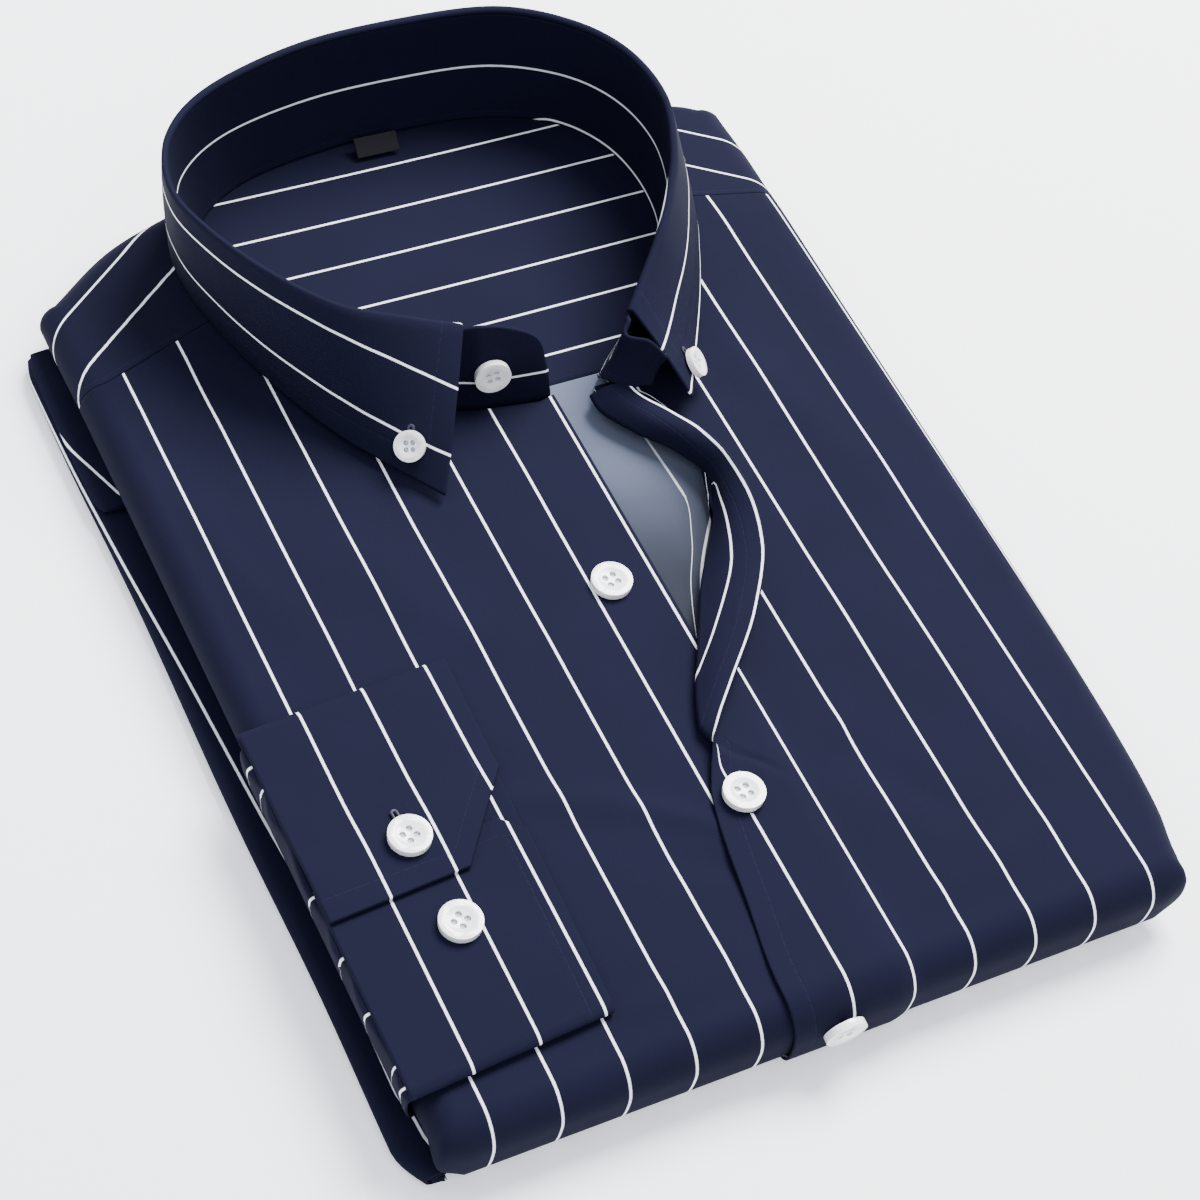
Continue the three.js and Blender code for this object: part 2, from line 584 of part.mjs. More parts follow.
function hiddenLayers() {
  const columns = [0, 0.1, 0.22, 0.34, 0.45, 0.55, 0.66, 0.78, 0.9, 1];
  const rows = [0, 0.12, 0.25, 0.38, 0.5, 0.62, 0.74, 0.8, 0.86, 0.92, 0.96, 1];
  const { at, stations } = rimStations(columns, rows);
  const top = (i, j) => at(i, j).setZ(chestHeight(at(i, j).y) - INSET);
  const rim = stations.map((station) => {
    const origin = at(station.i, station.j);
    return [top(station.i, station.j), ...rimPoints(origin, station)];
  });
  const floorRim = new Map(rim.map((points, k) => [`${stations[k].i},${stations[k].j}`, points.at(-1)]));
  const bottom = (i, j) => floorRim.get(`${i},${j}`) ?? at(i, j);
  const triangles = [];
  for (let i = 0; i < columns.length - 1; i++) {
    for (let j = 0; j < rows.length - 1; j++) {
      triangles.push(...quad(top(i, j), top(i + 1, j), top(i + 1, j + 1), top(i, j + 1)));
      triangles.push(...quad(bottom(i, j), bottom(i, j + 1), bottom(i + 1, j + 1), bottom(i + 1, j)));
    }
  }
  rim.forEach((points, k) => {
    const next = rim[(k + 1) % rim.length];
    for (let level = 0; level < points.length - 1; level++) {
      triangles.push(...quad(points[level], points[level + 1], next[level + 1], next[level]));
    }
    const [here, there] = [stations[k], stations[(k + 1) % rim.length]];
    triangles.push(...quad(points.at(-1), bottom(here.i, here.j), bottom(there.i, there.j), next.at(-1)));
  });
  const slab = solidOf(geometryOf(triangles));
  const neck = neckOutline(2.3, 2, ring.base.length - 5).map((p) => [p.x, p.y]);
  const cutter = (outline) => solidOf(innerSlab(outline, 40, CLOTH + GAP + 0.1));
  return geometryFromSolid(slab.subtract(cutter(neck)).subtract(cutter(OPENING)));
}

// ---- the right sleeve, folded under the left edge, and its cuff on the front ----
function loft(rings) {
  const triangles = [];
  const middle = (points) => points.reduce((sum, p) => sum.add(p), vec(0, 0, 0)).divideScalar(points.length);
  const [first, last] = [rings[0], rings.at(-1)];
  rings.slice(1).forEach((points, i) => points.forEach((point, k) => {
    const after = (k + 1) % points.length;
    triangles.push(...quad(rings[i][k], point, points[after], rings[i][after]));
  }));
  first.forEach((point, k) => triangles.push([middle(first), point, first[(k + 1) % first.length]]));
  last.forEach((point, k) => triangles.push([middle(last), last[(k + 1) % last.length], point]));
  return geometryOf(triangles);
}

function sleeveFold() {
  const section = (y, top, shrink) => {
    const [outer, inner] = [STRIP.outer + shrink, STRIP.inner - Math.max(0, shrink - 0.8)];
    const round = top / 2;
    return [
      [inner, 0], [outer + round * 0.7, 0], [outer + 0.4, round * 0.55], [outer, round],
      [outer + 0.5, round * 1.5], [outer + round * 0.8, top], [inner, top],
    ].map(([x, z]) => vec(x, y, z));
  };
  const stations = [
    [-138.6, STRIP.top, 4.8], [-135.2, STRIP.top, 0.8], [-125, STRIP.top, 0], [-60, STRIP.top, 0.6],
    [0, STRIP.top, 0.5], [STRIP.step, STRIP.top, 0], [STRIP.step + 1.5, STRIP.upperTop, 0],
    [100, STRIP.upperTop, 0], [120, STRIP.upperTop - 0.6, 0.4], [125.5, STRIP.upperTop - 1.8, 3.4],
  ];
  return loft(stations.map(([y, top, shrink]) => section(y, top, shrink)));
}

const SLEEVE_CLIMB = [
  [-109.9, 24.3], [-110.9, 23.2], [-111.3, 20.5], [-111.4, 16.5], [-111.1, 12.5], [-110.6, 9], [-110, 6.4],
];

function sleeveEnd() {
  const [, low] = CUFF.corner;
  const along = [0, 6, 20, 36, 52, 68, 84, 98, 104.5];
  const taper = (k) => (k * k) / 12;
  const grid = along.map((s) => SLEEVE_CLIMB.map(([x, z], k) => {
    const share = s / along.at(-1);
    return vec(x, low + s + lerp(taper(k), -taper(k), share), z);
  }));
  return wallOf(grid, -0.9);
}

// Path of the cuff round its length, as distance across the front and height above it: from the end
// of the top lap, over the upper fold, back underneath and over the lower fold to the under lap.
const CUFF_PATH = [
  [49.5, 4.5], [54, 4.6], [60, 4.6], [66, 4.4], [72.5, 3.7], [80, 3.1], [92, 3], [104, 3], [107.6, 2.7],
  [109, 1.5], [107.6, 0.3], [104, 0], [75, 0], [50, 0], [25, 0], [5, 0], [1.4, 0.3], [0, 1.5], [1.4, 2.7],
  [5, 3], [20, 3], [40, 3], [54, 3], [59.5, 3],
];

function cuffPoint(s, up, q) {
  const [x, y] = CUFF.corner;
  return vec(x + q, y + s + CUFF.skew * q, TOP + GAP + up);
}

// The lap's wrist corner is cut off at a slant.
function cuffWidth(step) {
  const [s] = CUFF_PATH[step];
  const full = lerp(CUFF.narrow, CUFF.width, s / 109);
  if (step < 5) return lerp(38, full, clamp((s - 49.5) / 23, 0, 1));
  return step > CUFF_PATH.length - 3 ? lerp(full, 50, (step - CUFF_PATH.length + 3) / 2) : full;
}

function cuff() {
  const across = [0, 0.25, 0.5, 0.75, 1];
  const grid = CUFF_PATH.map(([s, up], step) => across.map((t) => cuffPoint(s, up, cuffWidth(step) * t)));
  return wallOf(grid, CUFF.ply);
}

// ---- trims ----
function neckLabel() {
  const label = new THREE.BoxGeometry(13.5, 8.5, 0.6);
  return label.rotateX(0.62).rotateZ(-0.02).translate(9.5, 161.6, 18.2);
}

// A four-hole button with a rounded rim; its back is at the origin and it faces +Z.
function buttonShape(diameter, thickness) {
  const circle = (x, y, radius, sides) => range(sides).map((i) => {
    const angle = (i / sides) * Math.PI * 2;
    return new THREE.Vector2(x + radius * Math.cos(angle), y + radius * Math.sin(angle));
  });
  const outline = new THREE.Shape(circle(0, 0, diameter / 2 - 0.4, 20));
  const offset = diameter * 0.11;
  [[1, 1], [-1, 1], [-1, -1], [1, -1]].forEach(([x, y]) => {
    outline.holes.push(new THREE.Path(circle(x * offset, y * offset, diameter * 0.085, 6).reverse()));
  });
  const rim = { bevelThickness: 0.4, bevelSize: 0.4, bevelSegments: 1 };
  const body = new THREE.ExtrudeGeometry(outline, { depth: thickness - 0.8, ...rim });
  return body.translate(0, 0, 0.4);
}

// Where something sits on a front, and which way it faces.
function seatOn(across, along, lift) {
  const seat = onChest(across, along, lift);
  return [seat, onChest(across, along, lift + 1).sub(seat).normalize()];
}

function button(name, diameter, [seat, normal], thickness = 2.2) {
  const mesh = add(name, buttonShape(diameter, thickness), pearl);
  mesh.position.copy(seat).addScaledVector(normal, GAP);
  mesh.quaternion.setFromUnitVectors(vec(0, 0, 1), normal);
}

// ---- colours and the finished shirt ----
const cloth = new THREE.MeshStandardMaterial({ color: NAVY, roughness: 0.8, metalness: 0, name: 'shirting' });
const pearl = new THREE.MeshStandardMaterial({ color: PEARL, roughness: 0.3, metalness: 0, name: 'button' });

const shirt = new THREE.Group();
shirt.position.set(-CENTRE[0], -CENTRE[1], 0);

function add(name, geometry, material = cloth) {
  const mesh = new THREE.Mesh(geometry, material.clone());
  mesh.name = name;
  shirt.add(mesh);
  return mesh;
}

add('hidden_layers', hiddenLayers());
add('back_panel', backPanel());
add('yoke_inner', yokeInner());
add('yoke_outer', yokeOuter());
add('front_right', frontRight());
add('front_left', frontLeft());
add('sleeve_fold', sleeveFold());
add('sleeve_end', sleeveEnd());
add('cuff', cuff());
add('collar_stand', collarStand());
add('collar_leaf', collarLeaf());
add('neck_label', neckLabel());

const UP = vec(0, 0, 1);
button('button_front_1', 11.2, seatOn(2.4, -12, 0.01));
button('button_front_2', 11.2, seatOn(4.2, -85, OVERLAP_LIFT + 0.25));
button('button_front_3', 11.2, seatOn(2.6, FRONT - ROLL_LENGTH + 13.5, OVERLAP_LIFT));
button('button_cuff_1', 11.2, [cuffPoint(62.6, 4.6, 27.1), UP]);
button('button_cuff_2', 11.2, [cuffPoint(36.6, 3, 29.4), UP]);

// Buttons on the collar sit square to the cloth under them.
const tab = { station: 4.6, height: 0.5 };
const between = (line, at) => line[Math.floor(at)].clone().lerp(line[Math.ceil(at)], at % 1);
const tabFoot = between(ring.base, tab.station);
const tabUp = between(ring.fold, tab.station).sub(tabFoot);
const tabAcross = ring.base[5].clone().sub(ring.base[4]);
const tabSeat = tabFoot.clone().addScaledVector(tabUp, tab.height);
tabSeat.addScaledVector(outwards(ring.base, 4), COLLAR_CLOTH / 2 + 1.2 + 0.3);
button('button_stand', 10.2, [tabSeat, tabUp.cross(tabAcross).normalize()]);

function leafSeat(station, share, lift) {
  const first = LEAF.first * LEAF.steps;
  const index = station * LEAF.steps - first;
  const at = (i, t) => {
    const out = outwards(ring.fold, Math.round(first + i));
    return leafPoint(between(ring.fold, first + i), between(leafHem, i), out, t);
  };
  const seat = at(index, share);
  const along = at(index + 0.5, share).sub(at(index - 0.5, share));
  const down = at(index, share + 0.04).sub(at(index, share - 0.04));
  const normal = along.cross(down).normalize();
  return [seat.addScaledVector(normal, lift), normal];
}
button('button_leaf_left', 8.6, leafSeat(3.77, 0.82, 0.85), 2);
button('button_leaf_right', 8.6, leafSeat(20.55, 0.9, 1), 2);

export default shirt;
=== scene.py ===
"""A folded button-down shirt in navy pinstripe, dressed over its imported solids.

Shapes are worked out in millimetres in a drafting frame: +X towards the wearer's left, +Y from the
front fold to the collar, +Z up from the table. place() moves them to the frame's own origin.
"""

import math

import bpy
import numpy as np
from mathutils import Matrix, Vector


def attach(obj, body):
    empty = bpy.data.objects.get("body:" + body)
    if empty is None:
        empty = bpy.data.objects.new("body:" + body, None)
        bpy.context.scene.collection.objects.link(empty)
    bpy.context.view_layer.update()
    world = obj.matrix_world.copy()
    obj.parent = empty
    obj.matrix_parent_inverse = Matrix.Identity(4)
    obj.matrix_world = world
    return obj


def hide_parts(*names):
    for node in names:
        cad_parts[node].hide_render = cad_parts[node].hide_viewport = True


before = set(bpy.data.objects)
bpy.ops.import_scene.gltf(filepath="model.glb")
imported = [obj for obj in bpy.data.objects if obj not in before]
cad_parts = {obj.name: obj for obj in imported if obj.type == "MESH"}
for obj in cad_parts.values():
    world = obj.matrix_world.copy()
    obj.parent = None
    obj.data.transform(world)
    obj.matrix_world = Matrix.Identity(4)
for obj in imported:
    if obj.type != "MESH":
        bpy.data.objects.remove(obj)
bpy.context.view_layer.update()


# ---- Floor, light and camera ------------------------------------------------------------------
# The shirt lies on a plain table of opal acrylic, lit a little from below. A large soft lamp stands
# at its left shoulder, so the soft shadow falls to the other side, and the room fills in the rest.

FLOOR_COLOUR = "fafbfd"
ROOM = {"colour": "eef3fc", "strength": 1.15}
LAMPS = [
    {"name": "key", "at": (0.75, 0.55, 1.25), "size": 0.95, "power": 92.0, "colour": "ffffff"},
    {"name": "front", "at": (-0.15, -1.0, 1.1), "size": 1.1, "power": 9.0, "colour": "f3f6ff"},
    {"name": "collar", "at": (-0.7, 0.55, 0.9), "size": 0.6, "power": 4.0, "colour": "eef2ff"},
]
CAMERA = {
    "at": (-0.298188, -0.420167, 0.650514),
    "azimuth": -36.8507,
    "elevation": 52.1082,
    "roll": 13.8236,
    "lens": 90.40,
}


def linear(hex_colour):
    """An sRGB hex colour as linear red, green, blue and alpha."""
    values = [int(hex_colour[i : i + 2], 16) / 255 for i in (0, 2, 4)]
    return (*[v / 12.92 if v <= 0.04045 else ((v + 0.055) / 1.055) ** 2.4 for v in values], 1.0)


def feed(tree, node, inputs):
    """Sets a node's sockets: a value is put in, and another node's output is linked."""
    for socket, value in inputs.items():
        if isinstance(value, bpy.types.NodeSocket):
            tree.links.new(value, node.inputs[socket])
        else:
            node.inputs[socket].default_value = value


def add(tree, kind, settings=None, inputs=None):
    """A shader node with its settings and what goes into its sockets."""
    node = tree.nodes.new("ShaderNode" + kind)
    for key, value in (settings or {}).items():
        setattr(node, key, value)
    feed(tree, node, inputs or {})
    return node


def mixed(tree, share, first, second, blend="MIX"):
    """A share of the second colour laid over the first."""
    settings = {"data_type": "RGBA", "blend_type": blend}
    return add(tree, "Mix", settings, {0: share, 6: first, 7: second}).outputs[2]


def bare_material(name):
    """A material with nothing on it yet, its nodes and its shader."""
    material = bpy.data.materials.new(name)
    material.use_nodes = True
    return material, material.node_tree, material.node_tree.nodes["Principled BSDF"]


def lit_acrylic():
    """Opal acrylic sheet lit faintly from behind: even, pale, with the faintest mottling."""
    material, tree, shader = bare_material("lit_acrylic")
    at = add(tree, "TexCoord").outputs["Object"]
    cloud = add(tree, "TexNoise", {}, {"Vector": at, "Scale": 3.0}).outputs[0]
    tone = add(tree, "MapRange", {}, {0: cloud, 3: 0.985, 4: 1.0}).outputs[0]
    feed(tree, shader, {
        "Base Color": mixed(tree, 1.0, linear(FLOOR_COLOUR), tone, "MULTIPLY"),
        "Roughness": 0.6,
        "Specular IOR Level": 0.2,
        "Emission Color": linear("f4f7ff"),
        "Emission Strength": 0.42,
    })
    return material


bpy.ops.mesh.primitive_plane_add(size=6, location=(0, 0, -0.0002))
floor = bpy.context.object
floor.name = "table"
bpy.ops.object.transform_apply(location=True)
floor.data.materials.append(lit_acrylic())

world = bpy.data.worlds.new("room")
bpy.context.scene.world = world
world.use_nodes = True
background = world.node_tree.nodes["Background"]
feed(world.node_tree, background, {"Color": linear(ROOM["colour"]), "Strength": ROOM["strength"]})

for row in LAMPS:
    lamp = bpy.data.objects.new(row["name"], bpy.data.lights.new(row["name"], "AREA"))
    lamp.data.shape = "DISK"
    lamp.data.size = row["size"]
    lamp.data.energy = row["power"]
    lamp.data.color = linear(row["colour"])[:3]
    lamp.location = row["at"]
    lamp.rotation_euler = (Vector(row["at"])).to_track_quat("Z", "Y").to_euler()
    bpy.context.collection.objects.link(lamp)

azimuth, elevation, roll = (math.radians(CAMERA[key]) for key in ("azimuth", "elevation", "roll"))
flat = math.cos(elevation)
back = Vector((math.sin(azimuth) * flat, -math.cos(azimuth) * flat, math.sin(elevation)))
level = Vector((math.cos(azimuth), math.sin(azimuth), 0))
upright = back.cross(level)
right = math.cos(roll) * level + math.sin(roll) * upright
top = -math.sin(roll) * level + math.cos(roll) * upright
camera = bpy.data.objects.new("camera", bpy.data.cameras.new("camera"))
camera.data.lens = CAMERA["lens"]
camera.data.sensor_width = 36
camera.data.clip_start = 0.01
camera.matrix_world = Matrix.Translation(CAMERA["at"]) @ Matrix((right, top, back)).transposed().to_4x4()
bpy.context.collection.objects.link(camera)
bpy.context.scene.camera = camera


# ---- Right front ------------------------------------------------------------------------------
# The wearer's right front panel in cotton poplin, from its neckline and yoke seam down to the fold
# at the front, where it turns under. Its left side is turned down over the folded sleeve.

CENTRE = (2.0, 12.7)  # middle of the folded shirt's box, in the drafting frame
TOP = 22.0  # height of the chest
LEFT = -99.3  # the flat chest ends here and the side fold begins
FRONT = -139.0  # the flat chest ends here and the front fold begins
PLY = 0.7  # one layer of poplin with its turnings
SIDE = {"radius": 7.2, "sweep": 2.6}
SIDE_LENGTH = SIDE["radius"] * SIDE["sweep"]
SIDE_DROP = SIDE["radius"] * (1 - math.cos(SIDE["sweep"]))
PITCH = 18.0  # from one pinstripe to the next
RIGHT_STRIPE = -93.3  # where one of the right front's stripes runs
CLEAR = 8.9  # this far from a stripe's middle the cloth is plain
BAND_EDGE = 16.0  # the button band's free edge
UNDER = (22, 29)  # this far past the chest's front edge the cloth lies under the stack
LOWEST = 0.8  # height of the right side of the cloth there
SPLIT = (0.6, -60)  # share of the rows below it, and the place on the cloth where the rows get closer
SIDE_PLAIN = 16.6  # past the last stripe, round the side fold, the cloth stays plain

RIGHT_SIDE = [(-170, 98.2), (-139, 99.4), (-125, 102.4), (-105, 104.4), (-50, 106.6), (20, 107.4)]
RIGHT_SIDE += [(90, 108.2), (150, 109.6)]
CHEST_HEIGHT = [(-200, 22), (70, 22), (95, 21.9), (120, 19.75), (150, 17), (166, 15.6), (180, 15.4)]
# Out from the chest's front edge and down from its top, round the front fold and under.
FRONT_FOLD = [
    (0, 0), (1.7, 0.15), (3.4, 0.7), (5.1, 1.6), (6.6, 2.9), (7.8, 4.5), (8.6, 6.3), (9, 8.4), (9, 11),
    (8.8, 14), (8.3, 17), (7.5, 19.4), (6.2, 20.9), (4.2, 21.5), (1.5, 21.6), (-2, 21.6), (-6, 21.6),
]
# The line where the collar's stand is sewn to the neck, round from the right front's end.
SEAM_LINE = [
    (15.5, 54.5), (12, 55), (2, 56.5), (-10, 59), (-26, 67), (-40, 80), (-50, 95), (-56, 113), (-57, 131),
    (-51, 148.5), (-34, 160.5), (-8, 166), (20, 167.5), (45, 165), (65, 156.5), (76, 142.5), (79.5, 125),
    (77, 106.5), (68.5, 92.5), (57.5, 80), (46, 69), (36, 60), (29.8, 52.5), (33, 45.8), (41, 43.4),
]
NECK_CLEARANCE = 3.4
YOKE_SEAM = 111  # the yoke's seam meets the neckline here
YOKE_LEFT = [(-200, 93.2), (LEFT, 95.6), (-62.5, 109)]
# Soft creases: start, end, how wide, and how high the cloth stands.
RIGHT_CREASES = [
    ((-58, -62), (0, -94), 4.0, 0.9),
    ((-30, -92), (10, -112), 5, -0.5),
    ((-70, 20), (-20, -30), 11, 0.7),
    ((-96, 60), (-70, -20), 7, 0.6),
    ((-60, -128), (0, -122), 6, 0.55),
    ((-44, 60), (-40, 10), 8, -0.7),
    ((-92, 100), (-58, 64), 6, -0.6),
    ((-6, 40), (6, -6), 5, 0.4),
]


def through(points, x):
    """A smooth line through (x, y) points that never overshoots, read at x."""
    xs, ys = np.array(points, float).T
    gap = np.diff(xs)
    slope = np.diff(ys) / gap
    tangent = np.concatenate([[slope[0]], np.zeros(len(xs) - 2), [slope[-1]]])
    for i in range(1, len(xs) - 1):
        if slope[i - 1] * slope[i] > 0:
            a, b = 2 * gap[i] + gap[i - 1], gap[i] + 2 * gap[i - 1]
            tangent[i] = (a + b) / (a / slope[i - 1] + b / slope[i])
    k = np.clip(np.searchsorted(xs, x) - 1, 0, len(gap) - 1)
    t = np.clip((x - xs[k]) / gap[k], 0, 1)
    lift = (t**3 - 2 * t**2 + t) * tangent[k] + (t**3 - t**2) * tangent[k + 1]
    return ys[k] + (3 * t**2 - 2 * t**3) * (ys[k + 1] - ys[k]) + lift * gap[k]


def along_curve(points, t):
    """A smooth curve through points, read at t counted in points."""
    p = np.array(points, float)
    p = np.vstack([2 * p[0] - p[1], p, 2 * p[-1] - p[-2]])
    i = np.clip(np.floor(t).astype(int), 0, len(points) - 2)
    f = (np.asarray(t, float) - i)[..., None]
    a, b, c, d = p[i], p[i + 1], p[i + 2], p[i + 3]
    return 0.5 * (2 * b + (c - a) * f + (2 * a - 5 * b + 4 * c - d) * f**2 + (3 * b - a - 3 * c + d) * f**3)


def ramp(low, high, x):
    """From 0 at low to 1 at high, smoothly."""
    t = np.clip((np.asarray(x, float) - low) / (high - low), 0, 1)
    return t * t * (3 - 2 * t)


def evenly(low, high, step, fine=0.35):
    """Places from low to high about a step apart, with one more close to each end."""
    middle = np.linspace(low, high, max(2, int(abs(high - low) / step) + 1))
    close = math.copysign(fine, high - low)
    return np.concatenate([middle[:1], [low + close], middle[1:-1], [high - close], middle[-1:]])


def unit(ways):
    """Directions with a length of one."""
    return ways / np.maximum(np.linalg.norm(ways, axis=-1, keepdims=True), 1e-9)


def travelled(points, axis=0):
    """How far along a line, or each line of a face, its points lie."""
    steps = np.diff(points, axis=axis, prepend=np.take(points, [0], axis=axis))
    return np.cumsum(np.linalg.norm(steps, axis=-1), axis=axis)


def neckline(t, distance):
    """The stand's seam line moved out by a distance, at stations t."""
    point = along_curve(SEAM_LINE, t)
    way = along_curve(SEAM_LINE, np.minimum(t + 0.05, 24)) - along_curve(SEAM_LINE, np.maximum(t - 0.05, 0))
    out = np.stack([-way[..., 1], way[..., 0]], -1)
    return point + distance * out / np.linalg.norm(out, axis=-1, keepdims=True)


fold_turn = np.linspace(0, len(FRONT_FOLD) - 1, 400)
fold_path = along_curve(FRONT_FOLD, fold_turn)
fold_run = travelled(fold_path)
FOLD_LENGTH = fold_run[-1]


def chest(across, along):
    """The fronts' right side, folds and all, from a place on the flat cloth."""
    x = np.clip(across, LEFT, through(RIGHT_SIDE, along))
    y = np.maximum(along, FRONT)
    side = np.abs(across - x) / SIDE_LENGTH
    front = (y - along) / FOLD_LENGTH
    w = (side**9 + front**9) ** (1 / 9)
    turn = np.arctan2(front, side)
    share = turn / (math.pi / 2)
    angle = SIDE["sweep"] * np.minimum(w, 1)
    depth = (through(CHEST_HEIGHT, y) - TOP + SIDE_DROP) / SIDE_DROP
    out_side, drop_side = SIDE["radius"] * np.sin(angle), SIDE["radius"] * (1 - np.cos(angle)) * depth
    out_front = np.interp(w * FOLD_LENGTH, fold_run, fold_path[:, 0])
    drop_front = np.interp(w * FOLD_LENGTH, fold_run, fold_path[:, 1])
    out = out_side * (1 - share) + out_front * share
    drop = drop_side * (1 - share) + drop_front * share
    out = out / (np.cos(turn) ** 6 + np.sin(turn) ** 6) ** (1 / 6)
    x = x + np.sign(across - x) * out * np.cos(turn)
    return np.stack([x, y - out * np.sin(turn), through(CHEST_HEIGHT, y) - drop], -1)


def lifted(face, across, along, lift):
    """A face moved out along its normal."""
    way = unit(np.cross(
        face(across + 0.4, along) - face(across - 0.4, along),
        face(across, along + 0.4) - face(across, along - 0.4),
    ))
    return face(across, along) + way * np.asarray(lift)[..., None]


def tucked(along):
    """From 0 on the chest to 1 where the cloth lies under the stack."""
    return ramp(*UNDER, FRONT - along)


def creased(across, along, creases):
    """How high soft creases stand, each an uneven ridge that dies away at both ends."""
    raised = np.zeros(np.broadcast(across, along).shape)
    for number, (start, end, width, height) in enumerate(creases):
        run = np.array(end, float) - start
        length = np.linalg.norm(run)
        t = ((across - start[0]) * run[0] + (along - start[1]) * run[1]) / length**2
        off = ((across - start[0]) * run[1] - (along - start[1]) * run[0]) / length
        off = off + 0.12 * length * np.sin(math.pi * np.clip(t, 0, 1) + number) * 0.4
        wide = width * (1 + 0.3 * np.sin(5 * t + number))
        fade = ramp(-0.15, 0.25, t) * (1 - ramp(0.7, 1.15, t))
        raised = raised + height * np.exp(-((off / wide) ** 2)) * fade
    return raised


def place(points):
    """Drafting millimetres to metres in the frame."""
    return (np.asarray(points, float) - [CENTRE[0], CENTRE[1], 0]) / 1000


def as_mesh(name, points, faces, layers, flat_faces=0):
    """A new object from drafting points, smooth but for its first faces, with its UV layers."""
    mesh = bpy.data.meshes.new(name)
    mesh.from_pydata(place(points).tolist(), [], faces)
    corner = np.zeros(len(mesh.loops), np.int32)
    mesh.loops.foreach_get("vertex_index", corner)
    for layer, values in layers.items():
        mesh.uv_layers.new(name=layer).data.foreach_set("uv", values[corner].astype(np.float32).ravel())
    mesh.polygons.foreach_set("use_smooth", np.arange(len(faces)) >= flat_faces)
    mesh.update()
    piece = bpy.data.objects.new(name, mesh)
    bpy.context.collection.objects.link(piece)
    return piece


def shell(name, face, thickness, weave, wrong=None, sewn="", round_edge=0.35):
    """Cloth with two sides and a soft edge, from rows of points on its right side.

    weave gives each point's place in the pattern in millimetres, and wrong the same for the other
    side. sewn names the edges that have stitching beside them: start, end, left, right.
    """
    rows, columns = face.shape[:2]
    inner = face - unit(np.cross(np.gradient(face, axis=1), np.gradient(face, axis=0))) * thickness
    loop = [(0, j) for j in range(columns)] + [(i, columns - 1) for i in range(1, rows)]
    loop += [(rows - 1, j) for j in range(columns - 2, -1, -1)] + [(i, 0) for i in range(rows - 2, 0, -1)]
    i, j = np.array(loop).T
    way = unit(face[i, j] - face[np.clip(i, 1, rows - 2), np.clip(j, 1, columns - 2)])
    middle = (face[i, j] + inner[i, j]) / 2 + way * thickness * round_edge
    points = np.concatenate([face.reshape(-1, 3), inner.reshape(-1, 3), middle])
    count = rows * columns
    at = np.arange(count).reshape(rows, columns)
    quads = np.stack([at[:-1, :-1], at[:-1, 1:], at[1:, 1:], at[1:, :-1]], -1).reshape(-1, 4)
    edge = at[i, j]
    after = np.roll(np.arange(len(loop)), -1)
    rim = np.arange(len(loop)) + 2 * count
    upper = np.stack([edge[after], edge, rim, rim[after]], -1)
    lower = np.stack([rim[after], rim, edge + count, edge[after] + count], -1)
    faces = np.concatenate([quads, quads[:, ::-1] + count, upper, lower])
    across, along = travelled(face, 1), travelled(face)
    inward = {"left": across, "right": across[:, -1:] - across, "start": along, "end": along[-1:] - along}
    far = np.full((rows, columns), 99.0)
    for word in sewn.split():
        far = np.minimum(far, inward[word])
    seam = np.stack([far, across + along], -1)
    sides = {"weave": (weave, weave if wrong is None else wrong), "seam": (seam, seam)}
    layers = {
        layer: np.concatenate([upside.reshape(-1, 2), under.reshape(-1, 2), under[i, j]])
        for layer, (upside, under) in sides.items()
    }
    return as_mesh(name, points, faces.tolist(), layers)


# The cloth's pattern, in millimetres.
THREAD = 0.5  # from one thread to the next: wider than the real 0.2, so that they show
STRIPE_SIDE = (0.26, 0.46)  # from a stripe's middle: where its white thins out, and where it ends
STITCH = 1.3  # half of a stitch and its gap


